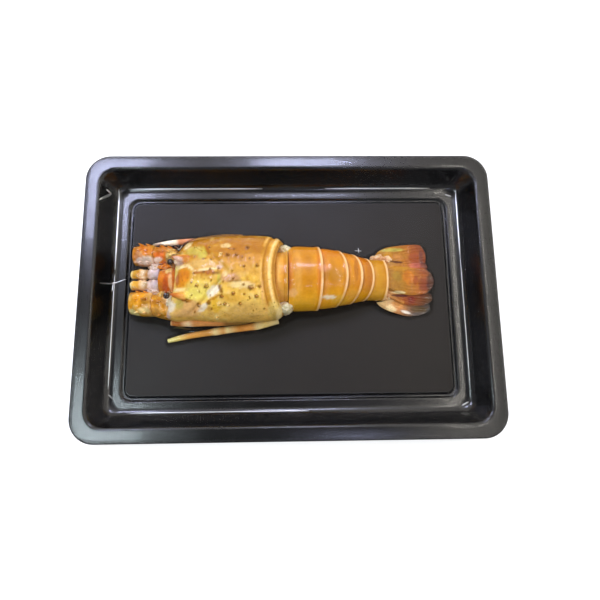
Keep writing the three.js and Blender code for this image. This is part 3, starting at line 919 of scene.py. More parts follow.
def finished(
    name: str,
    bm: Body,
    materials: Sequence[Material],
    node: str,
    slot: Slot,
    dabs: Sequence[Dab] = (),
    sharp: Optional[float] = None,
) -> Piece:
    """Turns a modelled body into a piece of the pack.

    Args:
        name: the piece's name.
        bm: the body in millimetres, which is used up.
        materials: its finishes, by face material index.
        node: the CAD node that it stands for.
        slot: the record's slot of its finish; it is not used.
        dabs: stains, with a few painted highlights and painted shade, laid over its colours.
        sharp: the angle in degrees from which an edge stays sharp, or None for none.

    Returns:
        The piece.
    """
    bmesh.ops.scale(bm, vec=(MM, MM, MM), verts=bm.verts)
    mesh = bpy.data.meshes.new(name)
    bm.to_mesh(mesh)
    bm.free()
    for material in materials:
        mesh.materials.append(material)
    mesh.shade_smooth()
    if sharp is not None:
        mesh.set_sharp_from_angle(angle=math.radians(sharp))
    if dabs:
        dabbed(mesh, dabs)
    piece = placed(name, mesh)
    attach(piece, BODY)
    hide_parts(node)
    LOG.info("%s: %d faces, for %s", name, len(mesh.polygons), node)
    return piece


def skin_tree(piece: Piece) -> tuple[BVHTree, np.ndarray]:
    """A finished piece's skin.

    Args:
        piece: the piece.

    Returns:
        A search tree of its faces, and its points, both in millimetres.
    """
    mesh = piece.data
    places = np.empty(len(mesh.vertices) * 3)
    mesh.vertices.foreach_get("co", places)
    places = places.reshape(-1, 3) / MM
    faces = [tuple(face.vertices) for face in mesh.polygons]
    return BVHTree.FromPolygons([Vector(place) for place in places], faces), places


# ---- Tray ----


@dataclass
class Tray:
    """The formed tray: a flange, leaning walls, a smooth band of floor, a groove and a grained panel."""

    finishes: Finishes
    length: float = 320.0
    width: float = 221.5
    sheet: float = 0.8
    flange: float = 11.1
    depth: float = 19.0
    draft: float = 8.3
    band: float = 9.5
    groove_width: float = 4.2
    groove_flat: float = 1.4
    groove_depth: float = 1.8
    lip: float = 1.8
    edge_round: float = 1.0
    top_round: float = 1.8
    base_round: float = 5.0
    groove_round: float = 0.5
    corner_steps: int = 20
    large_round: float = 1.0  # a round above this radius has the first number of steps, others the second
    round_steps: tuple[int, int] = (8, 5)
    slack: Pair = (0.3, 0.01)  # how far the panel's faces may reach past its edge and below the floor
    corner_radius: Stations = ((0, 19), (11.1, 13.5), (19.4, 9), (28.9, 8.5), (33.1, 5.5))

    @property
    def wall_base(self) -> float:
        """Inset of the foot of the wall."""
        return self.flange + self.draft

    @property
    def groove_middle(self) -> float:
        """Inset of the middle of the groove."""
        return self.wall_base + self.band + self.groove_width / 2

    @property
    def panel_inset(self) -> float:
        """Inset of the edge of the grained panel."""
        return self.groove_middle + self.groove_width / 2 + self.groove_round

    def section(self) -> list[Vector]:
        """The upper skin's section.

        Returns:
            Points from the panel's edge out, as (inset from the outer edge, height).
        """
        corners = [
            (self.groove_middle + self.groove_width, FLOOR, 0),
            (self.groove_middle + self.groove_width / 2, FLOOR, self.groove_round),
            (self.groove_middle + self.groove_flat / 2, FLOOR - self.groove_depth, self.groove_round),
            (self.groove_middle - self.groove_flat / 2, FLOOR - self.groove_depth, self.groove_round),
            (self.groove_middle - self.groove_width / 2, FLOOR, self.groove_round),
            (self.wall_base, FLOOR, self.base_round),
            (self.flange, FLANGE, self.top_round),
            (0, FLANGE, self.edge_round),
            (0, FLANGE - self.lip, 0),
        ]
        points = []
        for k, (inset, height, radius) in enumerate(corners):
            corner = Vector((inset, height))
            if not radius:
                points.append(corner)
                continue
            before, after = (Vector(corners[k + turn][:2]) for turn in (-1, 1))
            start = corner + (before - corner).normalized() * radius
            end = corner + (after - corner).normalized() * radius
            steps = self.round_steps[0 if radius > self.large_round else 1]
            for step in range(steps + 1):
                t = step / steps
                points.append(start * (1 - t) ** 2 + corner * (2 * t * (1 - t)) + end * t * t)
        return points

    def underside(self, section: Sequence[Vector]) -> list[Vector]:
        """The section moved towards its underside by the sheet's thickness, each corner mitred.

        Args:
            section: the upper skin's points.

        Returns:
            The lower skin's points.
        """
        normals = []
        for a, b in zip(section, section[1:]):
            run = (b - a).normalized()
            normals.append(Vector((-run.y, run.x)))
        lower = []
        for k, point in enumerate(section):
            a, b = normals[max(k - 1, 0)], normals[min(k, len(normals) - 1)]
            lower.append(point + (a + b) * (self.sheet / (1 + a.dot(b))))
        return lower

    def around(self, inset: float, radius: float, step: int) -> Pair:
        """The place of a step round the tray.

        Args:
            inset: of the ring from the outer edge.
            radius: of the ring's corners.
            step: the step's number, with the same count at each corner.

        Returns:
            The place in the plan.
        """
        corner, turn = divmod(step, self.corner_steps + 1)
        angle = (corner + turn / self.corner_steps) * math.pi / 2
        side_x, side_y = (1 if corner in (0, 3) else -1), (1 if corner < 2 else -1)
        return (
            side_x * (self.length / 2 - inset - radius) + radius * math.cos(angle),
            side_y * (self.width / 2 - inset - radius) + radius * math.sin(angle),
        )

    def radius_at(self, inset: float) -> float:
        """The radius of the tray's corners at an inset from its outer edge."""
        return along(self.corner_radius, inset)

    def build(self) -> Piece:
        """Makes the tray, with the grained panel as its second finish.

        Returns:
            The piece.
        """
        upper = self.section()
        lower = self.underside(upper)
        rings = [(p, self.radius_at(p.x)) for p in upper]
        rings += [(p, self.radius_at(u.x) + u.x - p.x) for p, u in zip(lower, upper)][::-1]
        count = 4 * (self.corner_steps + 1)

        def skin(v: float, angle: float) -> Vector:
            """The point at a share of the section and an angle round the tray."""
            point, radius = rings[round(v * (len(rings) - 1))]
            return Vector((*self.around(point.x, radius, round(angle / math.tau * count) % count), point.y))

        bm = loft(
            skin, len(rings) - 1, count,
            foot=Vector((0, 0, FLOOR)), tip=Vector((0, 0, FLOOR - self.sheet)),
        )
        reach_x, reach_y = (side / 2 - self.panel_inset + self.slack[0] for side in (self.length, self.width))
        least = FLOOR - self.slack[1]
        for face in bm.faces:
            places = [vertex.co for vertex in face.verts]
            if all(abs(p.x) < reach_x and abs(p.y) < reach_y and p.z > least for p in places):
                face.material_index = 1
        return finished(
            "tray_sheet", bm, (self.finishes.gloss, self.finishes.panel), "tray", Slot.TRAY, sharp=40
        )


# ---- Flesh ----


@dataclass(frozen=True)
class Lump:
    """A lump of soft flesh between hard parts: its middle, its reach and its colour."""

    middle: Triple
    reach: Triple
    colour: Seen


# its crest and hollow colours are partly painted light on the lumps and painted shade between them
FLESH_CRUST = Crust(3.0, 1.2, (250, 234, 200), (184, 104, 54), 0.75)
SHRED_SIZE = 2.4  # of the shreds that roughen a lump
SHRED_HEIGHT = 0.4  # as a share of the lump's reach


def flesh(name: str, lumps: Iterable[Lump], finish: Material, node: str, slot: Slot) -> Piece:
    """Makes lumps of soft flesh as one ragged piece.

    Args:
        name: of the piece.
        lumps: the lumps that it is made of.
        finish: its material.
        node: the CAD node that it belongs with.
        slot: the record's slot of its finish.

    Returns:
        The piece.
    """
    bm = bmesh.new()
    layer = bm.verts.layers.float_color.new(TINT)
    for lump in lumps:
        middle = Vector(lump.middle)
        ball = bmesh.ops.create_uvsphere(bm, u_segments=40, v_segments=30, radius=1)["verts"]
        for vertex in ball:
            place = Vector([unit * reach for unit, reach in zip(vertex.co, lump.reach)])
            vertex.co = middle + place * (1 + SHRED_HEIGHT * crust(middle + place, SHRED_SIZE))
            vertex[layer] = (*FLESH_CRUST.over(Vector(seen(*lump.colour)), vertex.co), 1.0)
    return finished(name, bm, (finish,), node, slot)


# ---- Cephalothorax ----


@dataclass(frozen=True)
class Spine:
    """A blunt spine of the back: its place in the plan, its size, and whether it is a pale knob."""

    x: float
    y: float
    size: float = 1.0
    pale: bool = False


# The back's larger spines, from its head to its rear edge.
LARGE_SPINES = (
    Spine(-66, 0, 1.1), Spine(-59, -1, 1.4), Spine(-65, -13, 1.2), Spine(-73, -10), Spine(-48, -8, 1.1),
    Spine(-44, 22, 1.1), Spine(-38, 22), Spine(-31, 28, 1.1), Spine(-40, -6, 1.1), Spine(-46, -13),
    Spine(-36, -13), Spine(-28, -2, 1.5), Spine(-22, -1), Spine(-25, -8, 1.1), Spine(-23, 14),
    Spine(-50, -13, 1.2, True), Spine(-53, -21, 1.3, True), Spine(-49, 23, 1.1, True),
    Spine(-44, -14, 1.0, True),
)


# The back's colours from the near flank to the far one, paler near and darker far, partly painted light and
# shade; and those of its rear rim from the front.
BACK_COLOURS = ramp(
    (-26, 248, 200, 116), (-12, 246, 206, 116), (4, 232, 186, 92),
    (16, 216, 160, 80), (30, 198, 138, 48), (40, 180, 122, 38),
)
RIM_COLOURS = ramp(
    (-22.6, 228, 176, 96), (-20.4, 236, 188, 108), (-19.2, 180, 120, 46), (-18.2, 212, 156, 72),
    (-16.4, 224, 168, 82), (-15.0, 255, 224, 160), (-13.8, 248, 206, 128), (-12.8, 206, 146, 66),
    (-12.0, 156, 100, 38), (-11.0, 214, 160, 84),
)
HORN_COLOURS = ramp((0, 224, 168, 92), (0.6, 226, 150, 82), (1, 196, 104, 52))
HORN_RADII = ((0, 1), (0.45, 0.78), (0.8, 0.42), (1, 0.12))  # as shares of the radius at the root
SPINE_COLOUR = Vector(seen(214, 158, 84))
DARK_STAIN = (140, 88, 20)
PALE_STAIN = (252, 226, 160)


@dataclass
class Carapace:
    """The shell of head and thorax, with its groove, rim, horns and spines."""

    finishes: Finishes
    front: float = -84.0
    rear: float = -10.8
    half_width: Stations = (
        (-84, 24.5), (-78, 29.4), (-66, 32.2), (-45, 33.4), (-28, 33.2), (-17, 31.6), (-10.8, 28)
    )
    top: Stations = ((-84, 35), (-78, 40), (-66, 44), (-45, 47), (-28, 46), (-17, 43.5), (-10.8, 41.5))
    widest: float = 0.36
    tuck: float = 0.72
    lobes: float = 6.0
    lobe_y: float = 28.0  # how far out from the middle a lobe is drawn back by its full length
    cheek: Pair = (9.0, 4.5)  # how far the near front corner reaches forwards and out
    cheek_from: Pair = (-70.0, -24.0)  # where it begins along the body, and how far across it is full
    hollow: float = 13.0
    groove_x: float = -45.0
    groove_sweep: float = 21.0
    groove_curve: float = 1.3
    groove_reach: float = 22.0
    groove: Pair = (2.2, 3.5)  # depth and half width
    furrow_x: float = -18.4
    furrow: Pair = (1.0, 2.2)
    rim_x: float = -14.3
    rim: Pair = (0.2, 2.4)  # height and half width
    rim_front: Pair = (-22.6, -20.8)  # where the rim's colours take over
    crust_end: Pair = (18.0, 26.0)  # the crust begins this far ahead of x = 0
    horn_x: float = -72.0
    horn_z: float = 38.0
    horn_spread: float = 13.0
    horn_length: float = 12.0
    horn_radius: float = 4.2
    rings: int = 104
    sides: int = 150
    search_steps: int = 24  # towards the point of the skin over a place
    search_reach: float = 36.0  # millimetres that are taken for a turn of one radian in them
    search_turn: float = 1.45  # the furthest turn from the back
    # its crest and hollow colours are partly painted light on the lumps and painted shade between them
    crust: Crust = Crust(4.6, 0.42, (250, 226, 160), (176, 108, 30), 0.5)
    rows: int = 9  # of small spines, from row_x's first place to its last
    in_row: int = 6
    row_x: Pair = (-70.0, -21.0)
    row_y: Pair = (-20.0, 34.0)
    apart: float = 4.5  # the least space between a small spine and a large one
    level: float = 0.2  # no small spine stands where the skin is drawn in by more
    seed: int = 7
    spine: Pair = (1.5, 1.15)  # height and radius of a spine of size 1
    spine_lean: float = -0.7  # forwards
    stain: Triple = (1.3, 1.2, 0.9)  # reach and strength of the stain round a spine of size 1

    def relief(self, x: float, y: float) -> float:
        """How far the skin is drawn in by the cervical groove and the furrow, and let out at the rim.

        Args:
            x: the place along the body.
            y: the place across, from the body's middle.

        Returns:
            The distance.
        """
        across = abs(y) / self.groove_reach
        groove_at = self.groove_x - self.groove_sweep * across**self.groove_curve
        groove = self.groove[0] * bump(x - groove_at, self.groove[1]) * (1 - smoothstep(across, 1, 1.3))
        furrow = self.furrow[0] * bump(x - self.furrow_x, self.furrow[1])
        return groove + furrow - self.rim[0] * bump(x - self.rim_x, self.rim[1])

    def point(self, x: float, angle: float) -> Vector:
        """The point of the skin.

        Args:
            x: the station along the body.
            angle: about its middle, 0 on the back.

        Returns:
            The point.
        """
        y, z = arch(along(self.half_width, x), along(self.top, x), BELLY, self.widest, self.tuck, angle)
        c = upward(angle)
        drawn = self.relief(x, y) if c > 0 else 0.0
        roll = (AXIS_Y - HEAD_Y) * smoothstep(-x, -self.furrow_x, -self.front) * c
        lobe = self.lobes * smoothstep(x, self.groove_x, self.rear) * (y / self.lobe_y) ** 2
        cheek = smoothstep(-x, -self.cheek_from[0], -self.front) * clamp(y / self.cheek_from[1]) ** 2
        place = Vector((x + lobe - self.cheek[0] * cheek, AXIS_Y + y - roll - self.cheek[1] * cheek, z))
        drawn -= self.crust.rise(place) * smoothstep(-x, *self.crust_end) * min(1.0, 2 * c)
        return place - Vector((0, drawn * math.sin(angle), drawn * c))

    def shade(self, v: float, angle: float, place: Vector) -> Vector:
        """The shell's colour, partly painted light and shade: darker on the far flank, paler on the lumps and
        browner between them.

        Args:
            v: the share of the way along the body.
            angle: about its middle.
            place: the point of the skin.

        Returns:
            The colour there.
        """
        x = lerp(self.front, self.rear, v)
        rim = blend(RIM_COLOURS, x)
        behind = smoothstep(x, *self.rim_front)
        if behind == 1:
            return rim
        return self.crust.over(blend(BACK_COLOURS, place.y), place).lerp(rim, behind)

    def horn(self, bm: Body, side: int) -> None:
        """Adds a stout horn over an eye, curving forwards and up.

        Args:
            bm: the mesh it joins.
            side: -1 on the near side, 1 on the far side.
        """
        y = HEAD_Y + side * self.horn_spread
        path = [
            Vector((self.horn_x + 3, y, self.horn_z - 3)),
            Vector((self.horn_x - self.horn_length * 0.35, y + side * 0.8, self.horn_z + 0.4)),
            Vector((self.horn_x - self.horn_length * 0.75, y + side * 0.8, self.horn_z + 3.4)),
            Vector((self.horn_x - self.horn_length, y + side * 0.5, self.horn_z + 7.5)),
        ]
        skin = limb_skin(path, lambda v: self.horn_radius * along(HORN_RADII, v))
        absorbed(bm, loft(skin, 14, 18, shade=lambda v, angle, place: blend(HORN_COLOURS, v)))

    def surface(self, x: float, y: float) -> tuple[Vector, Vector]:
        """The skin over a place in the plan, found by small steps round the body.

        Args:
            x: the place along the body.
            y: the place across.

        Returns:
            The point, and the way that the skin faces there.
        """
        angle = 0.0
        for _ in range(self.search_steps):
            angle += (y - self.point(x, angle).y) / self.search_reach
            angle = clamp(angle, -self.search_turn, self.search_turn)
        here = self.point(x, angle)
        behind = self.point(x + 0.5, angle) - here
        across = self.point(x, angle + 0.02) - here
        return here, behind.cross(across).normalized()

    def small_spines(self) -> list[Spine]:
        """The small spines, in rows a little out of line, clear of the grooves and the large ones.

        Returns:
            The spines.
        """
        draw = random.Random(self.seed)
        spines = []
        for row in range(self.rows):
            for place in range(self.in_row):
                x = lerp(*self.row_x, (row + 0.7 * draw.random()) / (self.rows - 0.5))
                y = lerp(*self.row_y, (place + 0.2 + 0.6 * draw.random()) / self.in_row)
                size = 0.45 + 0.35 * draw.random()
                near_large = any(math.hypot(x - large.x, y - large.y) < self.apart for large in LARGE_SPINES)
                if self.relief(x, y - AXIS_Y) < self.level and not near_large:
                    spines.append(Spine(x, y, size))
        return spines

    def build(self) -> Piece:
        """Makes the carapace.

        Returns:
            The piece.
        """
        bm = loft(
            lambda v, angle: self.point(lerp(self.front, self.rear, v), angle),
            self.rings, self.sides, shade=self.shade,
            foot=Vector((self.front, AXIS_Y, 17)),
            tip=Vector((self.rear - self.hollow, AXIS_Y, 21)),
        )
        for side in (-1, 1):
            self.horn(bm, side)
        dabs = list(CARAPACE_DABS)
        for spine in (*self.small_spines(), *LARGE_SPINES):
            at, facing = self.surface(spine.x, spine.y)
            height, radius = (spine.size * share for share in self.spine)
            add_spine(bm, at, facing + Vector((self.spine_lean, 0, 0)), height, radius)
            reach_x, reach_y = (spine.size * share for share in self.stain[:2])
            colour = PALE_STAIN if spine.pale else DARK_STAIN
            dabs.append(Dab(at.x - 0.4, at.y, reach_x, reach_y, colour, self.stain[2]))
        tinted(bm, lambda place: SPINE_COLOUR)
        return finished("carapace_shell", bm, (self.finishes.carapace,), "carapace", Slot.CARAPACE, dabs)


# Stains of the carapace, from its head to its rear edge, with some painted highlights and painted shade among
# them.
CARAPACE_DABS = (
    # the orange dome and the pale brow round it
    Dab(-77, 6, 6, 7.5, ORANGE, 0.95),
    Dab(-81.5, 6, 1.8, 6, RUST, 0.85),
    Dab(-80, 15, 6, 1.6, CREAM, 0.9, -3),
    Dab(-84, 12, 3, 4, LEMON, 0.6),
    Dab(-79, -2, 5, 1.5, CREAM, 0.9),
    # the far horn's pale mauve: partly its own colour, partly a painted highlight of the film
    Dab(-80, 19, 3, 3, LILAC, 0.85),
    # the far cheek
    Dab(-68, 27, 9, 4, OLIVE, 0.7),
    Dab(-76, 33, 3, 4, CREAM, 0.8),
    Dab(-63, 23, 3.5, 3.5, OLIVE, 0.85),
    Dab(-75, 22, 4, 1.2, RUST, 0.8, 8),
    Dab(-60, 28, 1.3, 5, RUST, 0.85, 25),
    # the tan field behind the far eye, its pale ridge and the brown fold beside it
    Dab(-61, 16, 11, 4, SAND, 0.95, -6),
    Dab(-72, 14, 4.5, 1.1, CREAM, 0.9, -38),
    Dab(-58, 11.5, 8, 1.1, CREAM, 0.95, 4),
    Dab(-60, 9.2, 9, 1.5, RUST, 0.9, -2),
    Dab(-53, 9, 4, 0.9, UMBER, 0.8),
    Dab(-50, 13, 2, 2, LILAC, 0.8),
    # the middle, before the cervical groove
    Dab(-65, -3, 13, 8, LEMON, 0.45),
    Dab(-69, -6, 6, 5, LEMON, 0.85),
    Dab(-61, -5, 4, 4, LEMON, 0.6),
    # painted highlights: white glints of the film on the middle of the back
    Dab(-54, -4, 6, 3, WHITE, 0.9, 35),
    Dab(-63, -15, 5, 2, WHITE, 0.85, 30),
    Dab(-58, -12, 1.8, 1.5, BROWN, 0.9),
    Dab(-53, -14, 3.4, 5, (240, 190, 60), 0.7),
    # the cervical groove
    Dab(-50, 4, 1.5, 4, OLIVE, 0.8),
    Dab(-49, -3, 1.3, 3.4, BROWN, 0.9, 25),
    Dab(-54, -9, 6, 0.9, RUST, 0.6, 25),
    # behind the groove
    Dab(-42, 5, 7, 3.4, MAUVE, 0.85),
    Dab(-46, 8, 2, 2.2, CREAM, 0.8),
    Dab(-40, 3, 6, 0.7, BROWN, 0.7),
    Dab(-34, 0, 9, 2.6, CREAM, 0.7),
    Dab(-40, -9, 8, 3, OCHRE, 0.5),
    # the far flank darkened: partly its own colour, partly painted shade
    Dab(-35, 27, 20, 9, (186, 122, 36), 0.85),
    Dab(-26, 20, 7, 3.6, (226, 166, 92), 0.6, 10),
    Dab(-46, 30, 4, 2, CREAM, 0.6),
    Dab(-30, -17, 14, 6, SAND, 0.6),
    # the near cheek and flank
    Dab(-73, -14, 9, 5, PEACH, 0.85),
    Dab(-74, -10, 5, 0.8, RUST, 0.8, -4),
    Dab(-80, -12, 3.5, 3.5, OLIVE, 0.6),
    Dab(-76, -18.5, 12, 2, PEACH, 0.6),
    # white by the near horn: partly its pale colour, partly a painted highlight of the film
    Dab(-87, -13, 4, 4, WHITE, 0.85, 20),
    Dab(-91, -18.5, 3, 3, LILAC, 0.85),
    # the strip before the rim, and the pale lobe at its near end
    Dab(-19.5, -4, 1, 8, PEACH, 0.6),
    Dab(-11, -17, 5, 7, (240, 214, 136), 0.7),
    Dab(-8, -19, 2, 6, CREAM, 0.8, -12),
)


# ---- Head ----


@dataclass(frozen=True)
class BaseJoint:
    """One fat joint of an antenna's base, between two stations, rear first."""

    node: str
    x: Pair
    y: Pair
    half_width: Pair
    top: Pair
    colours: Ramp
    dabs: Sequence[Dab]


NEAR_ORANGE = ramp((0.0, 226, 176, 116), (0.4, 222, 150, 60), (1.0, 214, 146, 62))
FAR_ORANGE = ramp((0.0, 202, 140, 80), (0.5, 208, 104, 40), (1.0, 196, 118, 60))
PLATE_COLOURS = ramp((0.0, 200, 90, 36), (0.45, 216, 94, 40), (1.0, 202, 124, 60))
PLATE_DABS = (
    Dab(-93, 3, 2.4, 7, (196, 62, 36), 0.85),
    Dab(-97, 10, 3, 5, (226, 120, 60), 0.7),
    Dab(-91, 15.5, 3, 2.6, (246, 214, 150), 0.85),
    Dab(-95, 17.5, 4, 1.4, (250, 226, 180), 0.8),
    Dab(-88.5, 6, 1.6, 7, (250, 206, 160), 0.7),
)
ANTENNULE_COLOURS = ramp(
    (0.0, 206, 186, 200), (0.3, 222, 196, 196), (0.42, 176, 126, 96), (0.55, 240, 210, 180),
    (0.7, 226, 160, 84), (0.9, 232, 176, 88), (1.0, 246, 222, 166),
)
THORN_COLOUR = Vector(seen(214, 122, 62))
EYE_DARK = Vector(seen(46, 26, 12))
EYE_PALE = Vector(seen(170, 120, 70))

BASE_JOINTS = (
    BaseJoint(
        "antenna_base_near_inner", (-87.5, -104.0), (-12.6, -9.0), (8.8, 9.2), (27, 25), NEAR_ORANGE,
        (
            Dab(-92, -6, 5, 3.6, (250, 226, 190), 0.8, 30),
            Dab(-98, -8, 6, 3, (176, 100, 30), 0.8),
            Dab(-100, -15, 6, 3.4, (220, 156, 96), 0.8),
            Dab(-90, -14, 2.6, 5, PEACH, 0.7),
            Dab(-97, -19, 6, 1.8, (176, 120, 70), 0.7),
        ),
    ),
    BaseJoint(
        "antenna_base_near_outer", (-104.6, -122.6), (-8.4, -6.6), (9.4, 9.4), (25, 20), NEAR_ORANGE,
        (
            Dab(-114, -4, 6, 4, (230, 150, 50), 0.8),
            Dab(-108, -7, 4, 3, (176, 104, 24), 0.7),
            Dab(-119, -15, 4.5, 2.4, (232, 222, 166), 0.8, -20),
            Dab(-110, -14, 5, 2.2, CREAM, 0.7),
            Dab(-120, 0, 4, 2.4, (196, 120, 70), 0.7),
        ),
    ),
    BaseJoint(
        "antenna_base_far_inner", (-87.5, -104.0), (28.0, 30.0), (7.0, 7.8), (27, 25), FAR_ORANGE,
        (
            Dab(-90, 26, 4, 5, (236, 214, 150), 0.8),
            Dab(-99, 28, 5, 2.6, (232, 108, 62), 0.9, -12),
            Dab(-95, 33, 6, 2, (190, 116, 80), 0.6),
            Dab(-101, 24.8, 4, 2.2, (255, 232, 224), 0.8),
        ),
    ),
    BaseJoint(
        "antenna_base_far_outer", (-104.6, -121.0), (30.4, 30.8), (8.4, 8.0), (25, 21), FAR_ORANGE,
        (
            Dab(-108, 31, 4, 4, (214, 118, 60), 0.8),
            Dab(-116, 28, 4, 5, (218, 150, 122), 0.8),
            Dab(-110, 24.8, 9, 2.6, (255, 232, 224), 0.9),
        ),
    ),
)


HEAD_LUMPS = (
    # beside the antennules
    Lump((-103, 1.4, 14), (6, 3, 5), LILAC),
    Lump((-102, 20.5, 14), (6.5, 3.2, 5.5), LILAC),
    Lump((-94, 19.6, 19), (6, 2.2, 6), (222, 124, 62)),
    Lump((-96, -2, 18), (4.5, 2.8, 5.5), SAND),
    # round the near eye
    # white: partly the near horn's pale colour, partly a painted highlight of the film
    Lump((-87, -9, 26), (4.5, 4.6, 6), WHITE),
    Lump((-86.5, -15, 20), (4, 5, 7), PEACH),
    # round the far eye
    # pale mauve: partly its own colour, partly a painted highlight of the film
    Lump((-83, 19.5, 29.5), (4.5, 3, 5.5), LILAC),
    Lump((-88, 27, 24), (4, 3.4, 5.5), SAND),
)


@dataclass
class Head:
    """What stands in front of the carapace: antenna bases, antennules, their plate and the eyes."""

    finishes: Finishes
    joints: Sequence[BaseJoint] = BASE_JOINTS
    joint_waist: float = 0.92  # the size of a joint's ends as a share of its middle
    joint_rim: Triple = (0.5, 0.86, 0.1)  # depth, place and half width of the furrow before its front rim
    thorn: Pair = (2.6, 1.3)  # height and radius of a joint's spines
    thorn_at: Pair = (0.25, 0.6)  # the shares of a joint's length where they stand
    thorn_turns: Triple = (-50, 10, 55)  # their angles about it, in degrees
    plate_y: float = HEAD_Y + 1.4
    plate_x: Pair = (-84.6, -99.0)
    plate_half_width: Pair = (11.6, 9.6)
    plate_top: Pair = (33, 25)
    plate_keel: Pair = (0.9, 3.0)  # height and half width
    antennules: Sequence[tuple[str, float]] = (("near", 6.0), ("far", 14.6))
    antennule_radii: Stations = (
        (0, 4.1), (0.35, 4.2), (0.42, 3.5), (0.5, 4.1), (0.75, 4.1), (0.8, 3.5), (1, 3.3)
    )
    # the crest and hollow colours of both crusts are partly painted light on the lumps and painted shade
    # between them
    joint_crust: Crust = Crust(5.2, 1.9, (250, 224, 158), (188, 104, 34), 0.62)
    plate_crust: Crust = Crust(3.8, 0.6, (240, 166, 100), (176, 60, 26), 0.65)
    eye_at: Triple = (-88.4, 12.6, 35.6)
    eye_radius: float = 2.4
    stalk: Pair = (1.9, 1.5)  # its radius at the eye and at its foot
    eye_fade: Pair = (-1.4, 1.8)  # how far below the eye's middle it turns from dark to pale

    def base_joint(self, joint: BaseJoint) -> Piece:
        """Makes one joint of an antenna's base, swollen between its ends and spined.

        Args:
            joint: which one.

        Returns:
            The piece.
        """

        def skin(v: float, angle: float) -> Vector:
            """The point at a share of the joint's length and an angle about it.

            Args:
                v: the share.
                angle: the angle, 0 on top.

            Returns:
                The point.
            """
            size = lerp(self.joint_waist, 1.0, math.sin(math.pi * clamp(v * 1.1)) ** 0.6)
            top = BELLY + (lerp(*joint.top, v) - BELLY) * size
            y, z = arch(lerp(*joint.half_width, v) * size, top, BELLY, 0.45, 0.7, angle)
            place = Vector((lerp(*joint.x, v), lerp(*joint.y, v) + y, z))
            rough = self.joint_crust.rise(place) * upward(angle) * math.sin(math.pi * v) ** 0.25
            depth, rim_at, rim_width = self.joint_rim
            furrow = depth * bump(v - rim_at, rim_width) * upward(angle)
            return place + Vector((0, 0.4 * rough * math.sin(angle), rough - furrow))

        bm = loft(skin, 30, 56, shade=self.joint_crust.painted(joint.colours))
        for v in self.thorn_at:
            for degrees in self.thorn_turns:
                angle = math.radians(degrees)
                add_spine(bm, skin(v, angle), Vector((-0.8, 0.5 * math.sin(angle), 0.6)), *self.thorn)
        tinted(bm, lambda place: THORN_COLOUR)
        return finished(f"{joint.node}_shell", bm, (self.finishes.head,), joint.node, Slot.HEAD, joint.dabs)

    def plate(self) -> Piece:
        """Makes the raised red plate between the antenna bases, sloping down to the front.

        Returns:
            The piece.
        """

        def skin(v: float, angle: float) -> Vector:
            """The point at a share of the plate's length and an angle about it.

            Args:
                v: the share.
                angle: the angle, 0 on top.

            Returns:
                The point.
            """
            half_width, top = lerp(*self.plate_half_width, v), lerp(*self.plate_top, v)
            y, z = arch(half_width, top, BELLY, 0.5, 0.6, angle)
            place = Vector((lerp(*self.plate_x, v), self.plate_y + y, z))
            keel = self.plate_keel[0] * bump(y, self.plate_keel[1]) * upward(angle)
            return place + Vector((0, 0, keel + self.plate_crust.rise(place) * upward(angle)))

        bm = loft(skin, 22, 48, shade=self.plate_crust.painted(PLATE_COLOURS))
        return finished(
            "antennular_plate_shell", bm, (self.finishes.head,), "antennular_plate", Slot.HEAD, PLATE_DABS
        )

    def antennule(self, side: str, y: float) -> Piece:
        """Makes one cut-off antennule, cream with an orange stain.

        Args:
            side: near or far.
            y: where it leaves the head.

        Returns:
            The piece.
        """
        path = [Vector((-99.6, y, 17)), Vector((-110, y + 0.4, 15.5)), Vector((-122, y + 0.8, 13))]
        tube = limb_skin(path, lambda v: along(self.antennule_radii, v))

        def skin(v: float, angle: float) -> Vector:
            """The point at a share of the antennule's length and an angle about it."""
            place = tube(v, angle)
            return place + Vector((0, 0.5 * FLESH_CRUST.rise(place), FLESH_CRUST.rise(place)))

        bm = loft(skin, 30, 26, shade=FLESH_CRUST.painted(ANTENNULE_COLOURS))
        node = f"antennule_{side}"
        return finished(f"{node}_shell", bm, (self.finishes.head,), node, Slot.HEAD)

    def eye(self, side: int) -> Piece:
        """Makes an eye on its short stalk.

        Args:
            side: -1 for the near eye, 1 for the far one.

        Returns:
            The piece.
        """
        x, spread, z = self.eye_at
        middle = Vector((x + side, HEAD_Y + side * spread, z))
        path = [middle, middle + Vector((0.8, -side * 1.5, -1.7)), middle + Vector((1.6, -side * 3, -3.4))]
        bm = loft(limb_skin(path, lambda v: lerp(*self.stalk, v)), 8, 16)
        ball = bmesh.ops.create_uvsphere(bm, u_segments=28, v_segments=20, radius=self.eye_radius)["verts"]
        bmesh.ops.translate(bm, vec=middle, verts=ball)
        tinted(bm, lambda place: EYE_DARK.lerp(EYE_PALE, smoothstep(middle.z - place.z, *self.eye_fade)))
        name = "near" if side < 0 else "far"
        return finished(f"eye_{name}_ball", bm, (self.finishes.eye,), f"eye_{name}", Slot.EYE)

    def build(self) -> list[Piece]:
        """Makes every piece of the head.

        Returns:
            The pieces.
        """
        lumps = flesh("head_flesh", HEAD_LUMPS, self.finishes.head, "antennular_plate", Slot.HEAD)
        pieces = [self.plate(), lumps]
        pieces += [self.antennule(side, y) for side, y in self.antennules]
        pieces += [self.base_joint(joint) for joint in self.joints]
        return pieces + [self.eye(side) for side in (-1, 1)]


# ---- Legs ----


@dataclass(frozen=True)
class Leg:
    """A walking leg from where it leaves the body to its tip."""

    node: str
    path: Sequence[Triple]
    radii: Stations
    colours: Ramp

    def build(self, finish: Material) -> Piece:
        """Makes the leg.

        Args:
            finish: its material.

        Returns:
            The piece.
        """
        skin = limb_skin([Vector(place) for place in self.path], lambda v: along(self.radii, v))
        bm = loft(skin, 70, 22, shade=lambda v, angle, place: blend(self.colours, v))
        return finished(f"{self.node}_shell", bm, (finish,), self.node, Slot.LEG)


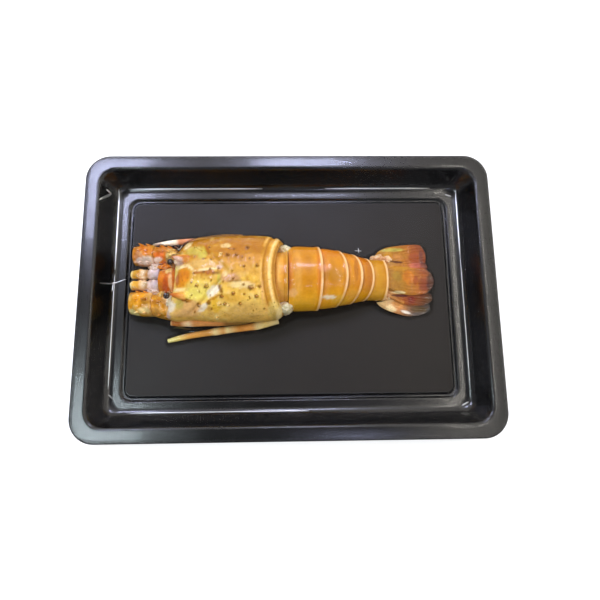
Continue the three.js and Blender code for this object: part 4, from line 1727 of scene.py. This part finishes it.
LEG_PALE = (250, 226, 170)
LEG_ORANGE = (232, 158, 76)
LEGS = (
    Leg(
        "leg_near_long",
        (
            (-9, -21, 7.2), (-26, -24.8, 6.6), (-47.4, -27.4, 6),
            (-61, -29.2, 5.6), (-80, -32.2, 5.2), (-95, -35.6, 4.2),
        ),
        (
            (0, 2.4), (0.13, 2.7), (0.2, 3.0), (0.26, 2.7), (0.4, 2.7),
            (0.5, 2.8), (0.56, 3.0), (0.62, 2.6), (0.9, 2.1), (1, 1.5),
        ),
        ramp(
            (0, 236, 216, 170), (0.12, 238, 206, 140), (0.19, *LEG_PALE), (0.24, 228, 150, 84),
            (0.36, 226, 140, 62), (0.46, *LEG_PALE), (0.5, 232, 160, 96), (0.57, *LEG_PALE),
            (0.62, 222, 150, 80), (0.8, *LEG_ORANGE), (0.9, 226, 200, 120), (1, 226, 220, 150),
        ),
    ),
    Leg(
        "leg_near_short",
        ((-30, -22.0, 13.6), (-52, -22.9, 14.4), (-76, -22.7, 13.6), (-84, -23.0, 13), (-91, -22.6, 12.4)),
        ((0, 1.2), (0.15, 2.4), (0.6, 2.8), (0.72, 3.1), (0.8, 2.8), (1, 2.0)),
        ramp(
            # dark umber at the root, where it runs under the shell's edge: partly the leg's colour, partly
            # painted shadow
            (0, *UMBER), (0.3, 130, 56, 26), (0.38, 216, 132, 78), (0.7, 226, 148, 96), (0.77, 246, 216, 184),
            (0.83, 238, 190, 150), (0.88, 176, 74, 32), (0.97, 186, 78, 32), (1, 240, 196, 150),
        ),
    ),
    Leg(
        "leg_far_long",
        ((-38, 44.6, 6.2), (-58, 45.2, 6.2), (-76, 44.2, 7.4), (-92, 42.6, 8.6), (-109, 41.4, 7)),
        ((0, 2.2), (0.3, 2.5), (0.55, 2.2), (0.7, 2.3), (1, 0.9)),
        ramp(
            (0, 206, 130, 50), (0.5, 214, 150, 76), (0.56, *ROSE), (0.7, *ROSE), (0.74, *WHITE),
            (0.86, *WHITE), (0.93, *LILAC), (1, 206, 190, 176),
        ),
    ),
)


# ---- Abdomen ----


@dataclass(frozen=True)
class Joint:
    """The rear edge of an abdominal segment: its place on the back, its lean and the half widths beside it.

    The edge runs forwards by its sweep from the back to the flanks.
    """

    x: float
    z: float
    lean: float
    half_width: float
    next_width: float
    sweep: float = 0.0


@dataclass(frozen=True)
class SegmentColours:
    """The colours of a segment's shell from front to rear on the back, and on its near and far flanks, partly
    painted light and shade: a darker front where it tucks under the ring before, a paler near flank and a
    darker far one.
    """

    back: Ramp
    near: Seen
    far: Seen


FIRST_RIM = Vector(seen(214, 150, 74))
RIM = Vector(seen(255, 208, 160))
BEFORE_RIM = Vector(seen(186, 110, 40))
# each back is darker at its front, partly painted shade; near flanks are painted paler as painted light, far
# flanks darker, partly painted shade
SEGMENT_COLOURS = (
    SegmentColours(
        ramp((0.0, 196, 136, 60), (0.35, 240, 182, 104), (0.7, 230, 156, 76), (1.0, 186, 110, 40)),
        (232, 178, 104), (206, 146, 72),
    ),
    SegmentColours(
        ramp(
            (0.0, 186, 100, 16), (0.07, 206, 122, 40), (0.16, 222, 152, 74), (0.3, 226, 164, 92),
            (0.42, 214, 140, 62), (0.62, 206, 132, 44), (0.8, 222, 148, 66), (0.88, 226, 128, 48),
        ),
        (250, 184, 72), (214, 138, 64),
    ),
    SegmentColours(
        ramp((0.0, 178, 110, 40), (0.12, 214, 142, 84), (0.4, 208, 134, 50), (0.8, 222, 146, 58)),
        (250, 182, 74), (222, 130, 52),
    ),
    SegmentColours(
        ramp((0.0, 176, 112, 44), (0.2, 216, 142, 60), (0.7, 222, 140, 58)),
        (250, 184, 80), (212, 124, 54),
    ),
    SegmentColours(
        ramp((0.0, 176, 110, 40), (0.25, 204, 124, 44), (0.7, 192, 110, 32)),
        (236, 168, 66), (216, 120, 44),
    ),
    SegmentColours(
        ramp((0.0, 196, 130, 60), (0.25, 214, 150, 66), (0.7, 208, 140, 56)),
        (226, 166, 80), (206, 138, 62),
    ),
)
SKIN_PALE = Vector(seen(250, 246, 222))
SKIN_GREEN = Vector(seen(196, 176, 110))


@dataclass
class Abdomen:
    """The tail's six overlapping rings of shell, and the soft skin that shows in front of them."""

    finishes: Finishes
    joints: Sequence[Joint] = (
        Joint(-12.4, 38.8, 0, 20, 20.4),
        Joint(-1.2, 38.6, 1, 21.4, 25.6),
        Joint(24.8, 37, 5.5, 24.6, 24.2, 1.2),
        Joint(43.6, 33.4, 12, 21.9, 21.6, 3.4),
        Joint(55.2, 29.2, 15, 19.4, 19, 3.2),
        Joint(64.6, 24.4, 16, 16.8, 16.4, 2.4),
        Joint(76.6, 18.4, 8, 16.2, 16.2, 0.8),
    )
    swell: Stations = (
        (0, 0.93), (0.12, 0.945), (0.24, 0.985), (0.55, 0.998), (0.84, 1), (0.91, 1.025), (1, 1.02)
    )
    band: float = 2.1  # width of the pale rear rim
    band_fade: float = 0.7
    dark_line: Pair = (0.5, 0.9)  # the strength and half width of the line before the rim
    gap: float = 0.5
    ripple: Pair = (0.16, 7.0)  # height and size of the shell's faint waves
    side_from: Pair = (0.3, 0.85)  # where the flank's colour takes over, and where it is full
    side_share: float = 0.85
    skin_x: float = -3.6
    skin_z: float = 18.0
    skin_spread: Pair = (23.6, 20.4)  # on the near side and on the far side
    skin_reach: Triple = (6.2, 4.6, 12.5)
    skin_folds: Pair = (0.2, 3.0)  # height, as a share of its reach, and size

    def skin(self, index: int) -> Skin:
        """The skin of a segment, on sections square to the back.

        Args:
            index: the segment's number, from 1.

        Returns:
            The skin, as a function of a share of the segment's length and an angle about it.
        """
        front, rear = self.joints[index - 1], self.joints[index]
        start = self.gap / (rear.x - front.x)

        def point(v: float, angle: float) -> Vector:
            """The point at a share of the segment's length and an angle about it.

            Args:
                v: the share.
                angle: the angle, 0 on the back.

            Returns:
                The point.
            """
            at = lerp(start, 1, v)
            swell = along(self.swell, at)
            lean = math.radians(lerp(front.lean, rear.lean, at))
            x, top = lerp(front.x, rear.x, at), lerp(front.z, rear.z, at)
            height = (top - BELLY) / math.cos(lean)
            half_width = lerp(front.next_width, rear.half_width, at) * lerp(1, swell, 0.5)
            y, z = arch(half_width, height * swell, 0, 0.34, 0.74, angle)
            down = height - z
            x -= lerp(front.sweep, rear.sweep, at) * (y / half_width) ** 2
            place = Vector((x - down * math.sin(lean), TAIL_Y + y, max(BELLY, top - down * math.cos(lean))))
            rough = self.ripple[0] * wrinkle(place, self.ripple[1]) * upward(angle)
            return place + Vector((0, 0, rough if place.z > BELLY + 1 else 0))

        return point

    def shade(self, index: int) -> Shade:
        """The colours of a segment's shell.

        Args:
            index: the segment's number, from 1.

        Returns:
            The colours, as a function of a share of its length, an angle and a place.
        """
        front, rear = self.joints[index - 1], self.joints[index]
        colours = SEGMENT_COLOURS[index - 1]
        length = math.hypot(rear.x - front.x, rear.z - front.z)
        rim = RIM if index > 1 else FIRST_RIM

        def colour(v: float, angle: float, place: Vector) -> Vector:
            """The colour at a share of the segment's length and a place.

            Args:
                v: the share.
                angle: about the segment.
                place: the point of the skin.

            Returns:
                The colour.
            """
            # the near flank's paler colour is painted light and the far flank's darker one partly painted shade
            side = Vector(seen(*(colours.far if place.y > TAIL_Y else colours.near)))
            back = blend(colours.back, v)
            across = abs(place.y - TAIL_Y) / front.next_width
            shell = back.lerp(side, self.side_share * smoothstep(across, *self.side_from))
            behind = (1 - v) * length
            strength, half_width = self.dark_line
            dark = strength * bump(behind - self.band - self.band_fade, half_width)
            return shell.lerp(BEFORE_RIM, dark).lerp(
                rim, smoothstep(-behind, -self.band, -self.band + self.band_fade)
            )

        return colour

    def segment(self, index: int) -> Piece:
        """Makes one ring of the tail.

        Args:
            index: the segment's number, from 1.

        Returns:
            The piece.
        """
        length = self.joints[index].x - self.joints[index - 1].x
        bm = loft(self.skin(index), max(16, round(length * 1.7)), 110, shade=self.shade(index))
        node = f"abdomen_segment_{index}"
        return finished(f"{node}_shell", bm, (self.finishes.abdomen,), node, Slot.ABDOMEN, ABDOMEN_DABS)

    def joint_skin(self, side: int) -> Piece:
        """Makes the pale soft skin that shows beside the joint with the carapace.

        Args:
            side: -1 on the near side, 1 on the far side.

        Returns:
            The piece.
        """
        middle = Vector((self.skin_x, TAIL_Y + side * self.skin_spread[side > 0], self.skin_z))
        height, size = self.skin_folds
        bm = bmesh.new()
        bmesh.ops.create_uvsphere(bm, u_segments=36, v_segments=28, radius=1)
        for vertex in bm.verts:
            place = Vector([unit * reach for unit, reach in zip(vertex.co, self.skin_reach)])
            vertex.co = middle + place * (1 + height * crust(place, size))
        tinted(bm, lambda place: SKIN_PALE.lerp(SKIN_GREEN, 0.5 + 0.5 * crust(place, size)))
        name = "near" if side < 0 else "far"
        return finished(
            f"joint_skin_{name}_fold", bm, (self.finishes.skin,), f"joint_skin_{name}", Slot.JOINT_SKIN
        )

    def build(self) -> list[Piece]:
        """Makes every piece of the abdomen.

        Returns:
            The pieces.
        """
        pieces = [self.segment(index) for index in range(1, 7)]
        pieces += [self.joint_skin(side) for side in (-1, 1)]
        root = flesh("fan_root_flesh", ROOT_LUMPS, self.finishes.skin, "abdomen_segment_6", Slot.ABDOMEN)
        return pieces + [root]


# The soft flesh beside the last segment, where the fan begins.
ROOT_LUMPS = (
    Lump((71, 28.2, 7.5), (6, 3.2, 4.5), (236, 190, 140)),
    Lump((78, 27.4, 7), (4, 3, 3.5), (244, 206, 160)),
    Lump((69, -2.4, 7.5), (5, 3, 4.5), (244, 206, 160)),
    Lump((76, -2.2, 7), (4, 3, 3.5), (236, 190, 140)),
)

# Stains of the abdomen, and one painted highlight, laid over every segment.
ABDOMEN_DABS = (
    Dab(26, 14, 5, 3, (226, 160, 130), 0.7),
    Dab(32, 9, 9, 4.5, (186, 122, 40), 0.6),
    Dab(8, -12, 9, 3, (236, 178, 70), 0.6),
    Dab(2, -4, 4, 3, (240, 190, 150), 0.5),
    Dab(5, 18, 4, 6, (222, 150, 92), 0.5),
    Dab(37, -8, 6, 3, (236, 186, 90), 0.5),
    Dab(47, -4, 6, 3, (226, 160, 84), 0.5),
    # a painted highlight: the lamps' white glint on the wet shell
    Dab(29, -6.5, 6, 1.3, WHITE, 0.75),
    Dab(50, 14, 1.8, 9, RUST, 0.7),
    Dab(-4, 32, 5, 4, OLIVE, 0.6),
    Dab(-5, -13, 5, 4, OLIVE, 0.6),
)


# ---- Tail fan ----


@dataclass(frozen=True)
class Blade:
    """A blade of the tail fan: its place in the stack, its plan and its colours from root to end."""

    node: str
    level: int
    turn: float
    length: float
    offset: float
    outline: Stations
    colours: Ramp
    flare: float = 0.0  # how far its outer root corner is drawn in, to the far side where it is above 0


INNER_OUTLINE = ((0, 5), (0.5, 8), (0.85, 7), (1, 4))
BLADES = (
    Blade(
        "telson", 2, -1, 37.4, 0, ((0, 8), (0.5, 11.5), (0.85, 10.5), (1, 7)),
        ramp(
            (0, 198, 146, 76), (0.3, 188, 136, 60), (0.6, 196, 130, 60), (0.8, 184, 108, 58), (1, 132, 84, 60)
        ),
    ),
    Blade(
        "uropod_near_inner", 1, -9, 36.5, -9, INNER_OUTLINE,
        ramp((0, 214, 160, 100), (0.4, 176, 100, 40), (0.75, 140, 84, 40), (1, 110, 84, 70)),
    ),
    Blade(
        "uropod_far_inner", 1, 4, 33.6, 9, INNER_OUTLINE,
        ramp((0, 206, 156, 90), (0.5, 196, 128, 60), (0.8, 180, 104, 78), (1, 132, 88, 72)),
    ),
    Blade(
        "uropod_near_outer", 0, -12, 35, -14.6,
        ((0, 4.6), (0.08, 7), (0.3, 9.5), (0.6, 10.2), (0.9, 7), (1, 4.5)),
        ramp((0, 240, 206, 150), (0.35, 226, 160, 100), (0.6, 150, 112, 84), (1, 96, 84, 78)),
        -8,
    ),
    Blade(
        "uropod_far_outer", 0, 10, 33.5, 16.6,
        ((0, 5.6), (0.1, 8.6), (0.3, 10.6), (0.6, 10.8), (0.9, 9.6), (1, 8.4)),
        ramp((0, 196, 144, 70), (0.5, 194, 132, 60), (0.75, 180, 106, 54), (1, 156, 88, 56)),
        8,
    ),
)

FAN_DABS = (
    # the far outer blade
    Dab(83, 36, 10, 1.6, OLIVE, 0.8, 5),
    Dab(80, 31, 4, 3, OCHRE, 0.7),
    Dab(87, 30, 5, 2.6, (214, 150, 84), 0.8),
    Dab(101, 30, 4.5, 5, (176, 92, 50), 0.8),
    Dab(107, 30, 1.6, 7, (116, 76, 84), 0.45),
    Dab(86, 25.5, 5.5, 1, UMBER, 0.85),
    Dab(101, 23, 5, 2.4, ROSE, 0.8),
    # the telson
    Dab(85, 13, 4, 4, (176, 140, 66), 0.6),
    Dab(86, 20, 9, 2.4, OCHRE, 0.6),
    Dab(95, 13, 5, 6, ORANGE, 0.7),
    Dab(101, 10.5, 2.2, 4, RUST, 0.8),
    Dab(107, 7, 4.5, 5.5, (150, 80, 50), 0.75),
    Dab(113, 6, 3.4, 12, (100, 68, 50), 0.8),
    Dab(86, 0.5, 6, 1, CREAM, 0.85),
    # the near blades
    Dab(87, -2, 7, 1.1, UMBER, 0.85),
    Dab(97, -5, 3, 3, (150, 74, 40), 0.8),
    Dab(86, -7.5, 5, 2.4, (214, 150, 84), 0.8),
    Dab(80, -12, 4.5, 2.6, CREAM, 0.8, -20),
    # a painted highlight: a white glint on the near blades
    Dab(92, -14.5, 4, 1.2, WHITE, 0.85, -14),
    Dab(103, -13, 6, 3, (122, 96, 64), 0.7),
    Dab(104, -17, 8, 2.4, SMOKE, 0.7),
)


@dataclass
class TailFan:
    """The five blades, one over another, and ribbed."""

    finishes: Finishes
    x: float = 77.6
    length: float = 38.0
    blade_thickness: float = 1.5
    round_end: float = 2.4
    rise: float = 2.6
    gap: float = 0.3
    ribs: int = 7
    rib_depth: float = 0.4
    keel: Triple = (0.5, 0.2, 0.3)  # what it keeps of a rib's furrow, its own height and its half width
    swell: Pair = (0.8, 0.3)  # the share of the thickness that is domed, in the middle and at the edge
    cells: tuple[int, int] = (64, 44)

    def blade(self, blade: Blade) -> Piece:
        """Makes one blade as a flat block that is drawn out, cupped and ribbed.

        Args:
            blade: which one.

        Returns:
            The piece.
        """
        turn = math.radians(blade.turn)
        direction = Vector((math.cos(turn), math.sin(turn), 0))
        across = Vector((-math.sin(turn), math.cos(turn), 0))
        start = Vector((self.x, TAIL_Y + blade.offset, 0))
        along_cells, across_cells = self.cells
        bm = bmesh.new()
        layer = bm.verts.layers.float_color.new(TINT)
        bmesh.ops.create_grid(bm, x_segments=along_cells, y_segments=across_cells, size=1)
        lower = bmesh.ops.duplicate(bm, geom=bm.faces[:])
        below = {v for v in lower["geom"] if isinstance(v, bmesh.types.BMVert)}
        for vertex in bm.verts:
            u, w = (vertex.co.x + 1) / 2, vertex.co.y
            outward = max(0.0, w * math.copysign(1, blade.flare)) if blade.flare else 0.0
            reach = u * blade.length - self.round_end * u * w * w - (1 - u) * outward**2 * abs(blade.flare)
            place = start + direction * reach + across * (w * along(blade.outline, u))
            rootward = 1 - smoothstep(place.x, self.x, self.x + self.length / 2)
            thickness = self.blade_thickness + rootward
            edge = smoothstep(max(abs(w), 1.6 * (u - 0.5)), 0.86, 1.0)
            ribbed = 0.5 + 0.5 * math.cos(w * math.pi * self.ribs / (0.6 + 0.4 * u))
            rib = self.rib_depth * ribbed * smoothstep(u, 0.1, 0.5) * (1 - edge)
            kept, height, half_width = self.keel
            keel = kept * bump(w, half_width) - rib
            z = BELLY + blade.level * (thickness + self.gap) + self.rise * rootward
            if vertex not in below:
                z += thickness * lerp(*self.swell, edge) + min(0.0, keel) + height * bump(w, half_width)
            vertex[layer] = (*blend(blade.colours, u), 1.0)
            vertex.co = place + Vector((0, 0, z))
        rims = [edge for edge in bm.edges if edge.is_boundary]
        bmesh.ops.bridge_loops(bm, edges=rims)
        tinted(bm, lambda place: Vector(blade.colours[-1][1]))
        bmesh.ops.recalc_face_normals(bm, faces=bm.faces)
        return finished(
            f"{blade.node}_blade", bm, (self.finishes.fan,), blade.node, Slot.TAIL_FAN, FAN_DABS, sharp=60
        )

    def build(self) -> list[Piece]:
        """Makes the five blades."""
        return [self.blade(blade) for blade in BLADES]


# ---- Skin film ----


@dataclass(frozen=True)
class Crease:
    """A small fold that stands on the film between two places in the plan, in millimetres."""

    start: Pair
    end: Pair
    radius: float

    def fold(self, ground: Callable[[float, float], float]) -> Body:
        """The fold as a thin body, tapered to both ends and half sunk in the film.

        Args:
            ground: gives the film's height over a place in the plan.

        Returns:
            The body.
        """
        path = []
        for share in np.linspace(0, 1, 9):
            x, y = lerp(self.start[0], self.end[0], share), lerp(self.start[1], self.end[1], share)
            path.append(Vector((x, y, ground(x, y))))
        return loft(limb_skin(path, lambda v: self.radius * lerp(0.2, 1, clamp(6 * v * (1 - v)))), 40, 12)


CREASES = (
    # a hooked fold by the far left corner, and a star on the left wall
    Crease((-148.5, 74), (-143.6, 83.4), 0.9),
    Crease((-143.6, 83.4), (-145.8, 85.4), 0.6),
    Crease((-146, 8.5), (-130.5, 14.5), 0.5),
    Crease((-140, 12), (-140.5, 4), 0.4),
    # the beads where the film bridges the foot of the walls
    Crease((-139.4, 89), (-139.4, 22), 0.7),
    Crease((-139.4, 18), (-139.4, -72), 0.45),
    Crease((139.4, 88), (139.4, 30), 0.7),
    Crease((139.4, 34), (139.4, -76), 0.4),
    Crease((-132, 90.2), (-22, 90.2), 0.55),
    Crease((30, 90.2), (118, 90.2), 0.45),
    Crease((-124, -90), (-20, -90), 0.45),
    Crease((-46, -90), (14, -90), 0.6),
    # small ones by the other corners
    Crease((131, 85), (136, 83), 0.45),
    Crease((132, -88), (137.5, -85), 0.4),
    Crease((-136, -79), (-139, -76), 0.3),
    # a faint cross beside the tail
    Crease((53, 36.6), (59, 36.4), 0.22),
    Crease((56.6, 34.5), (56.4, 39), 0.22),
)


@dataclass
class SkinFilm:
    """The clear film that is drawn down on the tray and the lobster."""

    finishes: Finishes
    tray: Tray
    trim: float = 0.8
    thickness: float = 0.1
    clearance: float = 0.22
    curl: float = 2.4  # how sharply the film bends where it leaves what it lies on, in 1/mm
    rounds: int = 300
    # The grid's pitch by the inset from the tray's edge: fine where the tray bends.
    pitch: Stations = (
        (0, 2.4), (8, 2.4), (9.5, 0.7), (13, 0.7), (14.5, 1.3), (16, 1.3), (17, 0.7), (24, 0.8),
        (25, 1.7), (27.5, 1.7), (28.4, 0.5), (33.8, 0.5), (36, 3.2), (40, 3.2),
    )
    food_pitch: float = 1.35
    food_x: Pair = (-126.0, 119.0)
    food_y: Pair = (-40.0, 49.0)
    samples: int = 8001  # places along an axis at which the pitch is summed up
    margin: float = 0.1  # round a piece's box, in which the film is tested against it

    def lines(self, size: float, food: Pair) -> np.ndarray:
        """Where the grid's lines cross one axis of the tray.

        Args:
            size: of the tray along the axis.
            food: the stretch of the axis that the food takes up.

        Returns:
            The lines' places in order, from edge to edge.
        """
        reach = size / 2 - self.trim
        places = np.linspace(-reach, reach, self.samples)
        insets, pitches = zip(*self.pitch)
        pitch = np.interp(size / 2 - np.abs(places), insets, pitches)
        pitch = np.where((places > food[0]) & (places < food[1]), np.minimum(pitch, self.food_pitch), pitch)
        count = np.concatenate(([0], np.cumsum(np.diff(places) / pitch[1:])))
        return np.interp(np.linspace(0, count[-1], round(count[-1]) + 1), count, places)

    def plan(self, x: np.ndarray, y: np.ndarray) -> tuple[np.ndarray, np.ndarray]:
        """Bends a square-cornered grid to the tray's rounded outline.

        Args:
            x: places along the tray, in millimetres.
            y: places across it.

        Returns:
            The bent places, along and across.
        """
        radius = self.tray.corner_radius[0][1]
        inner_x, inner_y = self.tray.length / 2 - self.trim - radius, self.tray.width / 2 - self.trim - radius
        a = np.clip((np.abs(x) - inner_x) / radius, 0, 1)
        b = np.clip((np.abs(y) - inner_y) / radius, 0, 1)
        bent_x = np.where(a * b > 0, inner_x + radius * a * np.sqrt(1 - b * b / 2), np.abs(x))
        bent_y = np.where(a * b > 0, inner_y + radius * b * np.sqrt(1 - a * a / 2), np.abs(y))
        return np.copysign(bent_x, x), np.copysign(bent_y, y)

    def support(self, x: np.ndarray, y: np.ndarray, pieces: Sequence[Piece]) -> np.ndarray:
        """The lowest that the film may lie, over the tray and the food.

        Args:
            x: the grid points' places along the tray.
            y: their places across it.
            pieces: the tray and the lobster's pieces.

        Returns:
            A height for each grid point.
        """
        level = np.full(x.shape, FLANGE + self.clearance)
        for piece in pieces:
            tree, places = skin_tree(piece)
            (x0, y0), (x1, y1) = places[:, :2].min(axis=0), places[:, :2].max(axis=0)
            inside = (x >= x0 - self.margin) & (x <= x1 + self.margin)
            inside &= (y >= y0 - self.margin) & (y <= y1 + self.margin)
            is_tray = piece.name.startswith("tray")
            for i, j in zip(*np.nonzero(inside)):
                hit = tree.ray_cast(Vector((x[i, j], y[i, j], ABOVE)), DOWN)[0]
                if hit is None:
                    continue
                least = hit.z + self.clearance
                level[i, j] = least if is_tray else max(level[i, j], least)
            if not is_tray:
                self.cover(level, x, y, places)
        return level

    def cover(self, level: np.ndarray, x: np.ndarray, y: np.ndarray, places: np.ndarray) -> None:
        """Raises the grid round every point of a piece that stands above it, such as a spine's tip.

        Args:
            level: the lowest that the film may lie at each grid point, which is changed.
            x: the grid points' places along the tray.
            y: their places across it.
            places: the piece's points.
        """
        rows = np.searchsorted(y[:, 0], places[:, 1])
        columns = np.searchsorted(x[y.shape[0] // 2], places[:, 0])
        for di in (-1, 0):
            for dj in (-1, 0):
                np.maximum.at(level, (rows + di, columns + dj), places[:, 2] + self.clearance)

    def settle(self, level: np.ndarray, x: np.ndarray, y: np.ndarray) -> np.ndarray:
        """Draws the film down: a taut sheet that bends no more sharply than it can.

        Args:
            level: the lowest that it may lie at each grid point.
            x: the places of the grid's lines along the tray.
            y: the places of its lines across the tray.

        Returns:
            The film's height at each grid point.
        """
        left, right = np.diff(x)[:-1][None, :], np.diff(x)[1:][None, :]
        near, far = np.diff(y)[:-1][:, None], np.diff(y)[1:][:, None]
        stiff_x, stiff_y = 2 / (left * right), 2 / (near * far)
        height = level.copy()
        for _ in range(self.rounds):
            along_x = (height[1:-1, :-2] * right + height[1:-1, 2:] * left) / (left + right)
            across = (height[:-2, 1:-1] * far + height[2:, 1:-1] * near) / (near + far)
            taut = (stiff_x * along_x + stiff_y * across - self.curl) / (stiff_x + stiff_y)
            height[1:-1, 1:-1] = np.maximum(level[1:-1, 1:-1], taut)
        return height

    def build(self, pieces: Sequence[Piece]) -> None:
        """Makes the film over the tray and every piece of the lobster, and its folds.

        Args:
            pieces: the tray and the lobster's pieces.
        """
        lines_x = self.lines(self.tray.length, self.food_x)
        lines_y = self.lines(self.tray.width, self.food_y)
        x, y = self.plan(*np.meshgrid(lines_x, lines_y))
        height = self.settle(self.support(x, y, pieces), lines_x, lines_y)
        panel = self.tray.panel_inset
        inside = (np.abs(x) < self.tray.length / 2 - panel) & (np.abs(y) < self.tray.width / 2 - panel)
        grip = inside & (height < FLOOR + 2 * self.clearance)
        bm = bmesh.new()
        layer = bm.verts.layers.float.new(GRIP)
        bmesh.ops.create_grid(bm, x_segments=len(lines_x) - 1, y_segments=len(lines_y) - 1, size=1)
        for index, vertex in enumerate(bm.verts):
            i, j = divmod(index, len(lines_x))
            vertex.co = (x[i, j], y[i, j], height[i, j])
            vertex[layer] = float(grip[i, j])
        bmesh.ops.recalc_face_normals(bm, faces=bm.faces)
        bmesh.ops.solidify(bm, geom=bm.faces[:], thickness=-self.thickness)
        bmesh.ops.recalc_face_normals(bm, faces=bm.faces)
        self.folds(finished("film_sheet", bm, (self.finishes.film,), "skin_film", Slot.FILM))

    def folds(self, sheet: Piece) -> None:
        """Makes the small folds that stand on the film, as one piece.

        Args:
            sheet: the film.
        """
        tree = skin_tree(sheet)[0]
        bm = bmesh.new()

        def ground(x: float, y: float) -> float:
            """The film's height over a place in the plan."""
            return tree.ray_cast(Vector((x, y, ABOVE)), DOWN)[0].z

        for crease in CREASES:
            absorbed(bm, crease.fold(ground))
        finished("film_folds", bm, (self.finishes.folded,), "skin_film", Slot.FILM)


# ---- Studio ----


@dataclass(frozen=True)
class Softbox:
    """A large soft lamp that faces straight down, in metres."""

    name: str
    place: Triple
    size: Pair
    radiance: float
    colour: Rgb

    def build(self) -> None:
        """Hangs the lamp."""
        lamp = bpy.data.lights.new(self.name, "AREA")
        lamp.shape = "RECTANGLE"
        lamp.size, lamp.size_y = self.size
        lamp.energy = self.radiance * math.pi * self.size[0] * self.size[1]
        lamp.color = self.colour
        placed(self.name, lamp).location = self.place


LAVENDER = (0.66, 0.70, 1.0)
ICE = (0.80, 0.94, 1.0)
WARM = (1.0, 0.95, 0.86)
SOFTBOXES = (
    Softbox("softbox_far_left", (-0.545, 0.54, 1.0), (0.26, 0.36), 19.0, LAVENDER),
    Softbox("softbox_near_left", (-0.56, -0.19, 1.0), (0.3, 0.3), 10.5, ICE),
    Softbox("softbox_far", (0.045, 0.605, 1.0), (0.29, 0.24), 20.0, LAVENDER),
    Softbox("softbox_near", (0.17, -0.30, 1.0), (0.2, 0.16), 5.0, LAVENDER),
    Softbox("softbox_near_right", (0.5, -0.34, 1.0), (0.3, 0.2), 2.2, WARM),
    Softbox("softbox_right", (0.475, 0.15, 1.0), (0.05, 0.66), 9.0, WARM),
)


@dataclass
class Studio:
    """A pale floor, soft light and the camera above the pack."""

    softboxes: Sequence[Softbox] = SOFTBOXES
    dim: Rgb = (0.38, 0.38, 0.39)  # the surroundings to the near left
    bright: Rgb = (1.14, 1.09, 1.01)  # the surroundings to the far right
    bright_side: Triple = (0.6, 0.7, 0.0)
    bright_from: Pair = (-0.35, 0.55)  # the cosines to that side between which they brighten
    shaded: Rgb = (0.12, 0.12, 0.12)  # straight above, where the camera keeps the light off
    overhead: Triple = (0.0, -0.12, 1.0)
    shaded_from: Pair = (0.92, 0.985)
    floor_radius: float = 4.0  # in metres
    floor_colour: Rgb = (0.9, 0.9, 0.9)
    floor_clouds: Pair = (0.985, 1.0)  # shares of that colour
    floor_roughness: float = 0.9
    glow: float = 0.5  # of the floor, a light table
    focal_px: float = 467.4  # of a picture 600 pixels wide
    picture_px: float = 600.0
    sensor: float = 36.0
    nearest: float = 0.01  # what the camera sees starts here, in metres
    camera_at: Triple = (-0.59, -70.09, 370.29)
    camera_turn: Triple = (-10.23, 1.34, 0.51)

    def floor(self) -> None:
        """Lays the floor under the pack."""
        bm = bmesh.new()
        bmesh.ops.create_circle(bm, cap_ends=True, segments=96, radius=self.floor_radius)
        mesh = bpy.data.meshes.new("studio_floor")
        bm.to_mesh(mesh)
        bm.free()
        material, w, shader = new_material("pale_floor")
        place = w.add("ShaderNodeTexCoord").outputs["Object"]
        cloud = w.add("ShaderNodeTexNoise", Vector=place, Scale=3.0, Detail=2.0).outputs["Fac"]
        tones = [(*(share * c for c in self.floor_colour), 1) for share in self.floor_clouds]
        w.plug(shader, Base_Color=w.mix(cloud, *tones), Roughness=self.floor_roughness)
        w.plug(shader, Emission_Color=(1.0, 1.0, 1.0, 1.0), Emission_Strength=self.glow)
        mesh.materials.append(material)
        floor = placed("studio_floor", mesh)

    def light(self) -> None:
        """Fills the studio with even light and hangs the lamps."""
        world = bpy.data.worlds.new("studio")
        world.use_nodes = True
        w = Wiring(world.node_tree)

        def towards(direction: Triple, low: float, high: float) -> Socket:
            """How far the surroundings lie towards a direction.

            Args:
                direction: the direction.
                low: the cosine to it up to which the share is 0.
                high: the cosine from which it is 1.

            Returns:
                The output that gives the share.
            """
            facing = w.add("ShaderNodeVectorMath", operation="DOT_PRODUCT")
            place = w.add("ShaderNodeTexCoord").outputs["Generated"]
            w.fill(facing, (place, Vector(direction).normalized()))
            return w.spread(facing.outputs["Value"], low, high, 0.0, 1.0)

        brightness = towards(self.bright_side, *self.bright_from)
        around = w.mix(brightness, (*self.dim, 1), (*self.bright, 1))
        colour = w.mix(towards(self.overhead, *self.shaded_from), around, (*self.shaded, 1))
        w.plug(world.node_tree.nodes["Background"], Color=colour)
        bpy.context.scene.world = world
        for softbox in self.softboxes:
            softbox.build()
        bpy.context.scene.view_settings.view_transform = "Standard"

    def camera(self) -> None:
        """Sets the camera where the photograph was taken from."""
        rx, ry, rz = (math.radians(turn) for turn in self.camera_turn)
        seen_from = Matrix.Rotation(rz, 4, "Z") @ Matrix.Rotation(ry, 4, "Y") @ Matrix.Rotation(rx, 4, "X")
        lens = bpy.data.cameras.new("camera")
        lens.sensor_width = self.sensor
        lens.lens = self.focal_px / self.picture_px * self.sensor
        lens.clip_start = self.nearest
        camera = placed("camera", lens)
        camera.matrix_world = Matrix.Translation(Vector(self.camera_at) * MM) @ seen_from.transposed()
        bpy.context.scene.camera = camera

    def build(self) -> None:
        """Sets up the floor, the light and the camera."""
        self.camera()
        self.floor()
        self.light()


def main() -> None:
    """Builds the pack in its studio."""
    logging.basicConfig(level=logging.INFO, format="%(name)s: %(message)s")
    Studio().build()
    finishes = Finishes()
    tray = Tray(finishes)
    pieces = [tray.build(), Carapace(finishes).build()]
    pieces += Head(finishes).build()
    pieces += [leg.build(finishes.limb) for leg in LEGS]
    pieces += Abdomen(finishes).build()
    pieces += TailFan(finishes).build()
    SkinFilm(finishes, tray).build(pieces)


if __name__ == "__main__":
    main()
